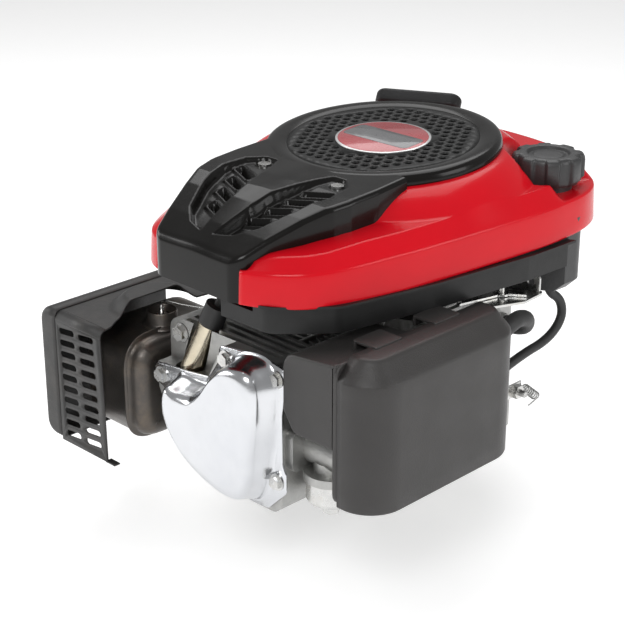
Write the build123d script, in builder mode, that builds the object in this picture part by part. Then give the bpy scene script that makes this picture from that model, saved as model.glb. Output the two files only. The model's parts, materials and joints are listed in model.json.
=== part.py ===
"""Small vertical-shaft overhead-valve gasoline engine, as separate pieces.

Millimetres, +Z up.  The origin is on the crankshaft's axis, in the face that rests on
the deck.  The cylinder points to -Y, the intake side is +X, the muffler side is -X.
"""
import os
from math import atan2, cos, degrees, hypot, pi, radians, sin

from build123d import *

os.makedirs("parts", exist_ok=True)

# ---------------------------------------------------------------- driving dimensions
BORE_R = 35.0                # 70 mm bore
CRANK_THROW = 25.5           # 51 mm stroke
CYLINDER_Z = 74.0            # height of the cylinder's axis
RUNNING = 0.04               # radial clearance of a running fit
WALL = 6.0                   # crankcase wall

SHAFT_R = 11.1               # output shaft, 22.2 mm
SHAFT_LENGTH = 60.0          # below the deck face
SHAFT_THREAD_R = 4.2         # tapped hole in the shaft's end
JOURNAL_R = 12.5
TAPER_R = 10.0

DECK_PCD = 203.2             # mounting bolt circle
DECK_HOLE_R = 4.75
DECK_FLANGE_R = 113.0
SUMP_TOP = 34.0
CASE_TOP = 142.0
CASE_X = (-68.0, 100.0)
CASE_Y = (-68.0, 68.0)
BARREL_END = -145.0          # top of the cylinder, where the head sits
HEAD_Y = (-195.0, -145.0)    # head casting
HEAD_X = (-66.0, 78.0)

GEAR_MODULE = 1.75
CRANK_TEETH = 20
CAM_TEETH = 40
GOVERNOR_TEETH = 16
CAM_X = GEAR_MODULE * (CRANK_TEETH + CAM_TEETH) / 2
VALVE_Z = (58.0, 82.0)       # intake and exhaust
VALVE_X = 12.0
ROCKER_X = 33.0
ROCKER_Y = -207.0
LOBE_BASE_R = 7.5
LOBE_LIFT = 3.8

FLYWHEEL_R = 86.0
PAN_Z = 166.0                # underside of the blower base
SHROUD_Z = 187.0             # lower edge of the red shroud
CREASE_Z = 218.0
GRILLE_Z = 262.0
GRILLE_R = 80.5
RING_R = 98.0
TILT = 4.0                   # the top leans forward by this many degrees
TAIL_Y = -214.0

CAP_ANGLE = 40.0             # fuel filler, seen from the crank axis
CAP_RADIUS = 137.0
GRIP_ANGLE = 117.0
CARB_Y = -165.0
CARB_X = 90.0
CARB_Z = 67.0
GOVERNOR_Y = 20.0            # pivot of the outside governor arm
GOVERNOR_Z = 56.0
BREATHER_Y = 42.0
BREATHER_Z = 112.0
DIP_FOOT = Vector(-64, 20, 62)
DIP_WAY = Vector(-0.64, 0, 0.77).normalized()

nodes = {}


def case_outline(inset=0.0, radius=20.0):
    """Rounded rectangle of the crankcase, seen from above."""
    centre = ((CASE_X[0] + CASE_X[1]) / 2, (CASE_Y[0] + CASE_Y[1]) / 2)
    with Locations(centre):
        RectangleRounded(CASE_X[1] - CASE_X[0] - 2 * inset, CASE_Y[1] - CASE_Y[0] - 2 * inset, radius - inset)


def shroud_points():
    """Corners of the shroud's outline, counter-clockwise from the front left."""
    return [(-67, -211), (76, -211), (116, -168), (136, -80), (150, 20), (153, 90), (112, 146),
            (30, 175), (-45, 172), (-108, 118), (-124, 40), (-122, -50), (-100, -120)]


def shroud_face(z, inset=0.0):
    """The shroud's outline at a height, moved in by the inset."""
    with BuildSketch(Plane.XY.offset(z)) as outline:
        Polygon(*shroud_points(), align=None)
        fillet(outline.vertices(), 26)
        if inset:
            offset(amount=-inset, mode=Mode.REPLACE)
    return outline.sketch


def tank_sector():
    """The rear part of the plan that belongs to the fuel tank."""
    reach = 260
    left, right = radians(150), radians(26)
    with BuildSketch() as sector:
        Polygon((0, 0), (reach * cos(right), reach * sin(right)), (reach, reach), (-reach, reach),
                (reach * cos(left), reach * sin(left)), align=None)
        Circle(114, mode=Mode.SUBTRACT)
    return sector.sketch


def gear_profile(teeth, phase=0.0):
    """Spur gear outline with straight-flanked teeth; one tooth is centred on the phase angle."""
    pitch_r = GEAR_MODULE * teeth / 2
    tip_r = pitch_r + 0.9 * GEAR_MODULE
    root_r = pitch_r - 1.2 * GEAR_MODULE
    step = 360 / teeth
    corners = []
    for tooth in range(teeth):
        middle = phase + tooth * step
        for share, radius in ((-0.33, root_r), (-0.12, tip_r), (0.12, tip_r), (0.33, root_r)):
            angle = radians(middle + share * step)
            corners.append((radius * cos(angle), radius * sin(angle)))
    Polygon(*corners, align=None)


def disc(place, radius, amount, hole=0.0, mode=Mode.ADD):
    """Round plate or rod standing on a plane; a negative amount goes the other way."""
    with BuildSketch(place) as section:
        Circle(radius)
        if hole:
            Circle(hole, mode=Mode.SUBTRACT)
    extrude(section.sketch, amount=amount, mode=mode)


def hex_bolt(place, head=5.5, washer=7.5, height=5.0, stem=2.95, depth=8.0):
    """Flanged hexagon bolt: the place's Z leaves the head's top, its origin is under the flange."""
    disc(place, washer, 1.5)
    with BuildSketch(place.offset(1.5)) as crown:
        RegularPolygon(head, 6)
    extrude(crown.sketch, amount=height - 1.5)
    disc(place, stem, -depth)


def facing(point, direction):
    """Plane at a point with its Z along a direction."""
    return Plane(point, z_dir=direction)


def cord_length(points, radii, name):
    """Length of straight runs joined by tangent arcs; prints each bend."""
    total = 0.0
    for start, end in zip(points, points[1:]):
        total += (Vector(*end) - Vector(*start)).length
    for before, corner, after, radius in zip(points, points[1:], points[2:], radii):
        turn = radians((Vector(*corner) - Vector(*before)).get_angle(Vector(*after) - Vector(*corner)))
        total += radius * turn - 2 * radius * sin(turn / 2) / cos(turn / 2)
        print(f"{name}: bend radius {radius:.1f} mm, turn {degrees(turn):.0f} deg")
    return total


def bend_radii(points, share=0.45):
    """The largest even bends: each takes the share of its shorter run."""
    radii = []
    for before, corner, after in zip(points, points[1:], points[2:]):
        first = Vector(*corner) - Vector(*before)
        second = Vector(*after) - Vector(*corner)
        half = radians(first.get_angle(second)) / 2
        radii.append(share * min(first.length, second.length) * cos(half) / sin(half))
    return radii


def tube_along(points, radius, name):
    """Solid round tube along straight runs joined by arcs."""
    radii = bend_radii(points)
    with BuildLine() as route:
        FilletPolyline(*points, radius=radii)
    with BuildSketch(facing(points[0], Vector(*points[1]) - Vector(*points[0]))) as section:
        Circle(radius)
    sweep(section.sketch, path=route.wires()[0])
    length = cord_length(points, radii, name)
    print(f"{name}: length {length:.1f} mm, section x length {pi * radius ** 2 * length:.0f} mm3")


# ---------------------------------------------------------------- crankcase and cylinder
pan_posts = [(-66, -74), (84, 60), (-72, 70)]
case_bolt_places = [(-60, -60), (16, -60), (92, -60), (92, 60), (-6, 60), (-60, 60)]

governor_turn = radians(120)
governor_distance = GEAR_MODULE * (CAM_TEETH + GOVERNOR_TEETH) / 2
governor_x = CAM_X + governor_distance * cos(governor_turn)
governor_y = governor_distance * sin(governor_turn)

with BuildPart() as sump_cover:
    with BuildSketch():
        Circle(DECK_FLANGE_R)
    extrude(amount=11)
    with BuildSketch(Plane.XY.offset(11)):
        case_outline()
    extrude(amount=SUMP_TOP - 11)
    with BuildSketch(Plane.XY.offset(10)):
        case_outline(inset=WALL)
    extrude(amount=SUMP_TOP - 10, mode=Mode.SUBTRACT)
    with BuildSketch(Plane.XY.offset(8)):
        Circle(21)
    extrude(amount=SUMP_TOP - 8)
    with BuildSketch(Plane.XY.offset(8)):
        with Locations((CAM_X, 0)):
            Circle(12)
    extrude(amount=SUMP_TOP - 8)
    with BuildSketch(Plane.XY.offset(8)):
        with Locations(*[(x * 0.97, y * 0.97) for x, y in case_bolt_places]):
            Circle(9)
    extrude(amount=SUMP_TOP - 8)
    disc(Plane((governor_x, governor_y, 8)), 9, SUMP_TOP + 3 - 8)
    disc(Plane((governor_x, governor_y, 8)), 4, 42)
    for rib in range(9):
        turn = radians(20 + 40 * rib)
        with BuildSketch(Plane((93 * cos(turn), 93 * sin(turn), 10), x_dir=(cos(turn), sin(turn), 0), z_dir=(0, 0, 1))):
            Rectangle(30, 4)
        extrude(amount=3)
    with Locations((0, 0, 0)):
        Hole(JOURNAL_R + RUNNING)
    with Locations((CAM_X, 0, SUMP_TOP)):
        Hole(7 + RUNNING, depth=20)
    with PolarLocations(DECK_PCD / 2, 3, start_angle=40):
        Hole(DECK_HOLE_R)
    for x, y in case_bolt_places:
        disc(Plane((x * 0.97, y * 0.97, 0)), 3.0, SUMP_TOP, mode=Mode.SUBTRACT)
        disc(Plane((x * 0.97, y * 0.97, 0)), 8.5, 8, mode=Mode.SUBTRACT)
nodes["sump_cover"] = sump_cover

head_bolt_places = [(-52, 124), (46, 126), (-52, 24), (46, 24)]
with BuildPart() as crankcase:
    with BuildSketch(Plane.XY.offset(SUMP_TOP)):
        case_outline()
    extrude(amount=CASE_TOP - SUMP_TOP)
    with BuildSketch(Plane((0, CASE_Y[0] + 4, CYLINDER_Z), x_dir=(1, 0, 0), z_dir=(0, -1, 0))):
        Circle(44)
        with Locations((52.5, -4)):
            Rectangle(24, 56)
        with Locations(*[(x, z - CYLINDER_Z) for x, z in head_bolt_places]):
            Circle(8.5)
    extrude(amount=-BARREL_END + CASE_Y[0] + 4)
    fin_pitch = 8.0
    for fin in range(9):
        fin_y = BARREL_END + 2.6 + fin * fin_pitch
        with BuildSketch(Plane((0, fin_y, CYLINDER_Z), x_dir=(1, 0, 0), z_dir=(0, -1, 0))):
            with Locations((7, 0)):
                RectangleRounded(134, 120, 14)
        extrude(amount=2.6)
    for x, y in pan_posts:
        with BuildSketch(Plane.XY.offset(CASE_TOP - 40)):
            with Locations((x, y)):
                Circle(6.5)
            with Locations((x * 0.9, y * 0.9)):
                Rectangle(16, 12, rotation=degrees(atan2(y, x)))
        extrude(amount=40)
        disc(Plane((x, y, CASE_TOP)), 6.5, PAN_Z - CASE_TOP)
    with BuildSketch(Plane.XY.offset(SUMP_TOP)):
        case_outline(inset=WALL)
    extrude(amount=CASE_TOP - WALL - SUMP_TOP, mode=Mode.SUBTRACT)
    with BuildSketch(Plane.XY.offset(CASE_TOP - 24)):
        Circle(33)
        with Locations((CAM_X, 0)):
            Circle(13)
    extrude(amount=24)
    with BuildSketch(Plane.XY.offset(SUMP_TOP)):
        with Locations(*[(x * 0.97, y * 0.97) for x, y in case_bolt_places]):
            Circle(8)
    extrude(amount=30)
    with Locations((52.5, CASE_Y[0] + 12, CYLINDER_Z - 4)):
        Box(26, 14, 56)
    with BuildSketch(Plane((0, -40, CYLINDER_Z), x_dir=(1, 0, 0), z_dir=(0, -1, 0))):
        Circle(BORE_R)
    extrude(amount=120, mode=Mode.SUBTRACT)
    with BuildSketch(Plane.XY.offset(SUMP_TOP)):
        with Locations(*[(x * 0.97, y * 0.97) for x, y in case_bolt_places]):
            Circle(3.0)
    extrude(amount=22, mode=Mode.SUBTRACT)
    with BuildSketch(Plane.XY.offset(CASE_TOP - 30)):
        Circle(26)
    extrude(amount=21, mode=Mode.SUBTRACT)
    with BuildSketch(Plane.XY.offset(CASE_TOP - 30)):
        Circle(15)
    extrude(amount=40, mode=Mode.SUBTRACT)
    with BuildSketch(Plane.XY.offset(CASE_TOP - 30)):
        with Locations((CAM_X, 0)):
            Circle(7 + RUNNING)
    extrude(amount=22, mode=Mode.SUBTRACT)
    for z in VALVE_Z:
        with BuildSketch(Plane((CAM_X, -40, z), x_dir=(1, 0, 0), z_dir=(0, -1, 0))):
            Circle(5 + RUNNING)
        extrude(amount=120, mode=Mode.SUBTRACT)
    for x, z in head_bolt_places:
        disc(Plane((x, BARREL_END - 1, z), z_dir=(0, 1, 0)), 4.4, 28, mode=Mode.SUBTRACT)
    governor_bore = Plane((CASE_X[1] - 12, GOVERNOR_Y, GOVERNOR_Z), z_dir=(1, 0, 0))
    disc(governor_bore, 4 + RUNNING, 20, mode=Mode.SUBTRACT)
    breather_port = Plane((CASE_X[1] - WALL, BREATHER_Y, BREATHER_Z), z_dir=(1, 0, 0))
    disc(breather_port, 8, WALL + 4)
    disc(breather_port.offset(-2), 4.5, WALL + 8, mode=Mode.SUBTRACT)
    disc(facing(DIP_FOOT, DIP_WAY), 11, 53.6)
    disc(facing(DIP_FOOT - DIP_WAY * 8, DIP_WAY), 6, 70, mode=Mode.SUBTRACT)
    with Locations((16, 0, SUMP_TOP - 50)):
        Box(300, 137, 100, mode=Mode.SUBTRACT)
nodes["crankcase"] = crankcase

with BuildPart() as main_bearing:
    with BuildSketch(Plane.XY.offset(CASE_TOP - 24)):
        Circle(26)
        Circle(JOURNAL_R + RUNNING, mode=Mode.SUBTRACT)
    extrude(amount=15)
    for face_z in (CASE_TOP - 24, CASE_TOP - 9):
        with BuildSketch(Plane.XY.offset(face_z - 1.5)):
            Circle(22)
            Circle(17, mode=Mode.SUBTRACT)
        extrude(amount=3, mode=Mode.SUBTRACT)
nodes["main_bearing"] = main_bearing

with BuildPart() as flange_bolts:
    for x, y in case_bolt_places:
        hex_bolt(facing((x * 0.97, y * 0.97, 8.0), (0, 0, -1)), depth=30.0)
nodes["flange_bolts"] = flange_bolts

# ---------------------------------------------------------------- crank train
WEB_Z = (52.0, 62.0, 86.0, 96.0)

with BuildPart() as crankshaft:
    disc(Plane.XY.offset(-SHAFT_LENGTH), SHAFT_R, SHAFT_LENGTH)
    disc(Plane.XY, JOURNAL_R, WEB_Z[0])
    disc(Plane.XY.offset(WEB_Z[3]), JOURNAL_R, 150 - WEB_Z[3])
    disc(Plane.XY.offset(150), TAPER_R, 28)
    disc(Plane.XY.offset(178), 7.0, 17)
    for z in (WEB_Z[0], WEB_Z[2]):
        with BuildSketch(Plane.XY.offset(z)):
            Circle(40)
            with Locations((0, -40)):
                Rectangle(90, 40, mode=Mode.SUBTRACT)
            with Locations((0, -CRANK_THROW)):
                Circle(15)
            with Locations((0, -14)):
                Rectangle(30, 28)
        extrude(amount=WEB_Z[1] - WEB_Z[0])
    disc(Plane((0, -CRANK_THROW, WEB_Z[1])), 12, WEB_Z[2] - WEB_Z[1])
    with BuildSketch(Plane.XY.offset(SUMP_TOP + 3)):
        gear_profile(CRANK_TEETH)
    extrude(amount=8)
    with BuildSketch(Plane.XY.offset(-SHAFT_LENGTH)):
        with Locations((SHAFT_R, 0)):
            Rectangle(5, 4.76)
    extrude(amount=40, mode=Mode.SUBTRACT)
    disc(Plane.XY.offset(-SHAFT_LENGTH), SHAFT_THREAD_R, 25, mode=Mode.SUBTRACT)
nodes["crankshaft"] = crankshaft

with BuildPart() as flywheel:
    disc(Plane.XY.offset(150), 24, 28)
    disc(Plane.XY.offset(154), 60, 8)
    disc(Plane.XY.offset(154), FLYWHEEL_R, 34, hole=58)
    disc(Plane.XY.offset(176), FLYWHEEL_R, 6, hole=40)
    for blade in range(16):
        turn = radians(blade * 360 / 16)
        with BuildSketch(Plane((63 * cos(turn), 63 * sin(turn), 181), x_dir=(cos(turn + 0.5), sin(turn + 0.5), 0),
                               z_dir=(0, 0, 1))):
            Rectangle(34, 2.4)
        extrude(amount=23)
    disc(Plane.XY.offset(149), TAPER_R, 30, mode=Mode.SUBTRACT)
nodes["flywheel"] = flywheel

with BuildPart() as starter_cup:
    disc(Plane.XY.offset(178), 32, 2.5, hole=7.2)
    disc(Plane.XY.offset(178), 32, 26, hole=30)
nodes["starter_cup"] = starter_cup

with BuildPart() as flywheel_nut:
    with BuildSketch(Plane.XY.offset(180.5)):
        RegularPolygon(13, 6)
        Circle(7.0, mode=Mode.SUBTRACT)
    extrude(amount=12)
nodes["flywheel_nut"] = flywheel_nut

with BuildPart() as camshaft:
    disc(Plane((CAM_X, 0, 15)), 7, 117)
    with BuildSketch(Plane((CAM_X, 0, SUMP_TOP + 3.5))):
        gear_profile(CAM_TEETH, phase=180 + 180 / CAM_TEETH)
    extrude(amount=7)
    for z, lobe_angle in zip(VALVE_Z, (200, 95)):
        with BuildSketch(Plane((CAM_X, 0, z - 4.5))):
            Circle(LOBE_BASE_R)
            with Locations((LOBE_LIFT * cos(radians(lobe_angle)), LOBE_LIFT * sin(radians(lobe_angle)))):
                Circle(LOBE_BASE_R)
        extrude(amount=9)
nodes["camshaft"] = camshaft

cam_step = 360 / CAM_TEETH
cam_tooth_offset = (120 - (180 + 180 / CAM_TEETH)) % cam_step
governor_phase = 300 + 180 / GOVERNOR_TEETH + cam_tooth_offset * CAM_TEETH / GOVERNOR_TEETH
with BuildPart() as governor_gear:
    with BuildSketch(Plane((governor_x, governor_y, SUMP_TOP + 3.5))):
        gear_profile(GOVERNOR_TEETH, phase=governor_phase)
    extrude(amount=7)
    disc(Plane((governor_x, governor_y, SUMP_TOP + 10.5)), 10, 8)
    disc(Plane((governor_x, governor_y, 10)), 4 + RUNNING, 60, mode=Mode.SUBTRACT)
nodes["governor_gear"] = governor_gear

# ---------------------------------------------------------------- piston (top of its stroke)
WRIST_Y = -115.5
CROWN_Y = -143.5
along_bore = Plane((0, CROWN_Y, CYLINDER_Z), x_dir=(1, 0, 0), z_dir=(0, 1, 0))
ring_tops = (4.0, 9.0, 14.5)

with BuildPart() as piston:
    disc(along_bore, BORE_R - RUNNING, 46)
    disc(along_bore.offset(6), BORE_R - 5, 40, mode=Mode.SUBTRACT)
    for top in ring_tops:
        disc(along_bore.offset(top), BORE_R, 2.2, hole=BORE_R - 3, mode=Mode.SUBTRACT)
    for z in (CYLINDER_Z - 31, CYLINDER_Z + 8):
        disc(Plane((0, WRIST_Y, z)), 13, 23)
    disc(Plane((0, WRIST_Y, CYLINDER_Z - 40)), 9, 80, mode=Mode.SUBTRACT)
nodes["piston"] = piston

with BuildPart() as piston_rings:
    for top in ring_tops:
        disc(along_bore.offset(top + 0.1), BORE_R - 0.02, 2.0, hole=BORE_R - 2.8)
nodes["piston_rings"] = piston_rings

with BuildPart() as wrist_pin:
    disc(Plane((0, WRIST_Y, CYLINDER_Z - 29)), 8.98, 58, hole=5)
nodes["wrist_pin"] = wrist_pin

# ---------------------------------------------------------------- head and valve gear
head_centre_x = (HEAD_X[0] + HEAD_X[1]) / 2
EXHAUST_Y = -162.0
PLUG_FOOT = Vector(-42, -185, 88)
PLUG_WAY = Vector(0.318, 0.215, 0.923).normalized()
VALVE_COVER_Y = -222.0
cover_places = [(-59, 90), (19, 128), (76, 129), (75.5, 42), (-26, 30)]
cover_flange = [(-68, 99), (-68, 80), (-38, 20), (-6, 12), (84, 12), (84, 137), (14, 137), (-8, 99)]
cover_dome = [(-38, 99), (-36, 58), (-14, 33), (24, 22), (67, 24), (69, 122), (32, 130), (1, 87), (-14, 90)]
with BuildPart() as cylinder_head:
    with BuildSketch(Plane((0, HEAD_Y[1], CYLINDER_Z), x_dir=(1, 0, 0), z_dir=(0, -1, 0))):
        with Locations((head_centre_x, 0)):
            RectangleRounded(HEAD_X[1] - HEAD_X[0], 124, 12)
    extrude(amount=HEAD_Y[1] - HEAD_Y[0])
    for groove in range(4):
        groove_y = HEAD_Y[1] - 7 - groove * 8.5
        for z in (CYLINDER_Z - 62, CYLINDER_Z + 62):
            with Locations((head_centre_x, groove_y, z)):
                Box(HEAD_X[1] - HEAD_X[0] - 36, 5, 34, mode=Mode.SUBTRACT)
    with BuildSketch(Plane((0, HEAD_Y[1], CYLINDER_Z), x_dir=(1, 0, 0), z_dir=(0, -1, 0))):
        Circle(BORE_R)
    extrude(amount=9, mode=Mode.SUBTRACT)
    with BuildSketch(Plane((0, HEAD_Y[0] + 18, CYLINDER_Z), x_dir=(1, 0, 0), z_dir=(0, -1, 0))):
        with Locations((30, -4)):
            RectangleRounded(66, 62, 8)
    extrude(amount=30, mode=Mode.SUBTRACT)
    for z in VALVE_Z:
        disc(Plane((CAM_X, HEAD_Y[1] + 1, z), z_dir=(0, -1, 0)), 6, 60, mode=Mode.SUBTRACT)
        disc(Plane((VALVE_X, HEAD_Y[0] + 18, z), z_dir=(0, -1, 0)), 5.5, 5)
        disc(Plane((VALVE_X, HEAD_Y[1] + 1, z), z_dir=(0, -1, 0)), 3.0 + RUNNING, 60, mode=Mode.SUBTRACT)
        disc(Plane((VALVE_X, HEAD_Y[1] - 8, z), z_dir=(0, -1, 0)), 10.5, 14, mode=Mode.SUBTRACT)
    disc(Plane((VALVE_X, CARB_Y, VALVE_Z[0]), z_dir=(1, 0, 0.13)), 8.5, 80, mode=Mode.SUBTRACT)
    disc(Plane((VALVE_X, EXHAUST_Y, VALVE_Z[1]), z_dir=(-1, 0, 0)), 8.5, 80, mode=Mode.SUBTRACT)
    for z in (VALVE_Z[0] - 12, VALVE_Z[1] + 6):
        with BuildSketch(Plane.XY.offset(z)):
            with Locations((ROCKER_X, ROCKER_Y + 12)):
                Rectangle(13, 40)
        extrude(amount=6)
    disc(Plane((ROCKER_X, ROCKER_Y, CYLINDER_Z - 40)), 4.5, 80, mode=Mode.SUBTRACT)
    for x, z in head_bolt_places:
        disc(Plane((x, HEAD_Y[1] + 1, z), z_dir=(0, -1, 0)), 4.4, 60, mode=Mode.SUBTRACT)
        disc(Plane((x, HEAD_Y[0] - 1, z), z_dir=(0, 1, 0)), 8.6, 16, mode=Mode.SUBTRACT)
    with BuildSketch(Plane((0, HEAD_Y[0] + 14, 0), x_dir=(1, 0, 0), z_dir=(0, -1, 0))) as trim:
        Rectangle(400, 400)
        Polygon(*cover_flange, align=None, mode=Mode.SUBTRACT)
    extrude(trim.sketch, amount=16, mode=Mode.SUBTRACT)
    disc(facing(PLUG_FOOT - PLUG_WAY * 2, PLUG_WAY), 12.5, 90, mode=Mode.SUBTRACT)
nodes["cylinder_head"] = cylinder_head

with BuildPart() as rocker_shaft:
    disc(Plane((ROCKER_X, ROCKER_Y, VALVE_Z[0] - 14)), 4.45, VALVE_Z[1] - VALVE_Z[0] + 28)
nodes["rocker_shaft"] = rocker_shaft

VALVE_FACE = HEAD_Y[1] - 5.5
for valve_name, z, head_r in (("intake", VALVE_Z[0], 11.6), ("exhaust", VALVE_Z[1], 11.0)):
    out = Plane((VALVE_X, VALVE_FACE, z), z_dir=(0, -1, 0))
    with BuildPart() as valve:
        disc(out, head_r, 2.0)
        disc(out, 3.0, 52)
        disc(out.offset(44), 7.4, 2.5)
    nodes[f"{valve_name}_valve"] = valve

    with BuildPart() as spring:
        disc(out.offset(30.5), 7.2, 9.2, hole=5.9)
    nodes[f"{valve_name}_spring"] = spring

    with BuildPart() as rocker:
        with BuildSketch(Plane.XY.offset(z - 4)):
            with Locations((ROCKER_X, ROCKER_Y)):
                Circle(8)
            with Locations(((CAM_X + VALVE_X) / 2, ROCKER_Y - 1.5)):
                Rectangle(CAM_X - VALVE_X + 8, 7)
            with Locations((ROCKER_X, ROCKER_Y)):
                Circle(4.45 + RUNNING, mode=Mode.SUBTRACT)
        extrude(amount=8)
    nodes[f"{valve_name}_rocker"] = rocker

    with BuildPart() as pushrod:
        push = Plane((CAM_X, -12.2, z), z_dir=(0, -1, 0))
        disc(push, 8.5, 3.5)
        disc(push, 5.0, 70)
        disc(push, 3.0, -ROCKER_Y - 12.2 - 3.2)
    nodes[f"{valve_name}_pushrod"] = pushrod

with BuildPart() as head_bolts:
    for x, z in head_bolt_places:
        hex_bolt(Plane((x, HEAD_Y[0] + 15, z), z_dir=(0, -1, 0)), head=6.5, washer=8.0, height=6, stem=4.3, depth=61)
nodes["head_bolts"] = head_bolts


with BuildPart() as valve_cover:
    cover_plane = Plane((0, HEAD_Y[0], 0), x_dir=(1, 0, 0), z_dir=(0, -1, 0))
    with BuildSketch(cover_plane) as flange_sketch:
        Polygon(*cover_flange, align=None)
        fillet(flange_sketch.vertices(), 7)
    extrude(amount=2)
    with BuildSketch(cover_plane.offset(2)) as dome_sketch:
        Polygon(*cover_dome, align=None)
        fillet(dome_sketch.vertices(), 5)
    extrude(amount=-VALVE_COVER_Y + HEAD_Y[0] - 2)
    chamfer(valve_cover.edges().group_by(Axis.Y)[0], 4)
    with BuildSketch(cover_plane) as room_sketch:
        Polygon(*cover_dome, align=None)
        fillet(room_sketch.vertices(), 5)
        offset(amount=-2.5, mode=Mode.REPLACE)
    extrude(amount=-VALVE_COVER_Y + HEAD_Y[0] - 4, mode=Mode.SUBTRACT)
    for x, z in cover_places:
        disc(Plane((x, HEAD_Y[0] + 1, z), z_dir=(0, -1, 0)), 3.1, 4, mode=Mode.SUBTRACT)
nodes["valve_cover"] = valve_cover

with BuildPart() as valve_cover_bolts:
    for x, z in cover_places:
        hex_bolt(Plane((x, HEAD_Y[0] - 2, z), z_dir=(0, -1, 0)), washer=7.0, depth=2)
nodes["valve_cover_bolts"] = valve_cover_bolts

# ---------------------------------------------------------------- ignition
with BuildPart() as spark_plug:
    plug_plane = facing(PLUG_FOOT, PLUG_WAY)
    with BuildSketch(plug_plane) as hexagon:
        RegularPolygon(7.2, 6)
    extrude(hexagon.sketch, amount=9)
    disc(plug_plane.offset(9), 4.5, 26)
    disc(plug_plane.offset(35), 2.2, 10)
nodes["spark_plug"] = spark_plug

with BuildPart() as plug_shield:
    disc(plug_plane.offset(3), 9.4, 50, hole=8.5)
nodes["plug_shield"] = plug_shield

with BuildPart() as plug_boot:
    disc(plug_plane.offset(14), 8.4, 41)
    disc(plug_plane.offset(53.3), 10.2, 18)
    disc(plug_plane.offset(12), 4.6, 34, mode=Mode.SUBTRACT)
nodes["plug_boot"] = plug_boot

LEAD_ROUTE = [(-19.3, -169.7, 153.9), (-13, -165.4, 172), (-20, -140, 180), (-36, -112, 179), (-56.2, -85, 178)]
with BuildPart() as ignition_lead:
    tube_along(LEAD_ROUTE, 3.5, "ignition_lead")
nodes["ignition_lead"] = ignition_lead

coil_turn = radians(228)
coil_plane = Plane((94 * cos(coil_turn), 94 * sin(coil_turn), PAN_Z + 2.8),
                   x_dir=(cos(coil_turn), sin(coil_turn), 0), z_dir=(0, 0, 1))
with BuildPart() as ignition_coil:
    with BuildSketch(coil_plane):
        Rectangle(14, 44)
        with Locations((-4, 0)):
            Rectangle(9, 20, mode=Mode.SUBTRACT)
        with Locations((4, 0)):
            Rectangle(20, 28)
    extrude(amount=17)
    disc(Plane.XY.offset(PAN_Z), FLYWHEEL_R + 0.6, 40, mode=Mode.SUBTRACT)
    add(ignition_lead.part, mode=Mode.SUBTRACT)
nodes["ignition_coil"] = ignition_coil

# ---------------------------------------------------------------- blower base, shroud, top
tank_plan = tank_sector()

TOP_PLANE = Plane((0, 0, GRILLE_Z), x_dir=(1, 0, 0), z_dir=(0, -sin(radians(TILT)), cos(radians(TILT))))
TAIL_X = 4.5
tail_points = [(TAIL_X - 46, TAIL_Y), (TAIL_X + 46, TAIL_Y), (TAIL_X + 74, -140), (TAIL_X + 78, -110),
               (74, -60), (-70, -60), (TAIL_X - 78, -110), (TAIL_X - 74, -140)]
top_line = [(TAIL_Y, 180), (TAIL_Y, 217), (TAIL_Y + 6, 223), (-190, 233), (-162, 245), (-140, 251.5),
            (-98, 255), (0, 261)]
SCREW_X = 41.0               # top cover screws, either side of the tail's middle
SCREW_Y = -101.0
SCREW_Z = 255.0


def tail_block(depth, grow=0.0, ceiling=0.0):
    """The space under the tail's top line: as deep as asked, its plan moved out by grow."""
    with BuildSketch(Plane.XY.offset(150)) as plan:
        Polygon(*tail_points, align=None)
        fillet(plan.vertices().group_by(Axis.Y)[0], 10)
        if grow:
            offset(amount=grow, mode=Mode.REPLACE)
    with BuildSketch(Plane.YZ.offset(-140)) as strip:
        lower = [(y + depth, z - depth) if y < -150 else (y, z - depth) for y, z in top_line]
        lower[0] = (TAIL_Y + depth, 180 - abs(grow))
        upper = [(y - ceiling, z + ceiling) for y, z in top_line]
        upper[0] = (TAIL_Y - ceiling, 180 - abs(grow))
        Polygon(*upper, *reversed(lower), align=None)
    tall = extrude(plan.sketch, amount=150, mode=Mode.PRIVATE)
    return tall & extrude(strip.sketch, amount=280, mode=Mode.PRIVATE)


with BuildPart() as blower_base:
    add(extrude(shroud_face(PAN_Z, 9), amount=SHROUD_Z + 12 - PAN_Z, mode=Mode.PRIVATE))
    add(extrude(shroud_face(PAN_Z + 2.5, 11.5), amount=60, mode=Mode.PRIVATE), mode=Mode.SUBTRACT)
    add(extrude(Plane.XY.offset(PAN_Z - 1) * tank_plan, amount=60, mode=Mode.PRIVATE), mode=Mode.SUBTRACT)
    add(extrude(shroud_face(SHROUD_Z + 0.5, 3.4), amount=2, mode=Mode.PRIVATE)
        - extrude(shroud_face(SHROUD_Z, 11), amount=4, mode=Mode.PRIVATE)
        - extrude(Plane.XY.offset(PAN_Z - 1) * tank_plan, amount=60, mode=Mode.PRIVATE))
    disc(Plane.XY.offset(PAN_Z), 113.5, SHROUD_Z + 12 - PAN_Z, hole=111)
    disc(Plane.XY.offset(PAN_Z + 2.5), 111, 60, mode=Mode.SUBTRACT)
    disc(Plane.XY.offset(PAN_Z - 1), FLYWHEEL_R + 3, 10, mode=Mode.SUBTRACT)
    disc(Plane((-15, -166.5, PAN_Z - 1)), 5.5, 5, mode=Mode.SUBTRACT)
    add(ignition_lead.part, mode=Mode.SUBTRACT)
    add(tail_block(25, grow=0.5), mode=Mode.SUBTRACT)
    with Locations((-60, -195, PAN_Z + 15)):
        Box(160, 54, 60, mode=Mode.SUBTRACT)
nodes["blower_base"] = blower_base

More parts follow.
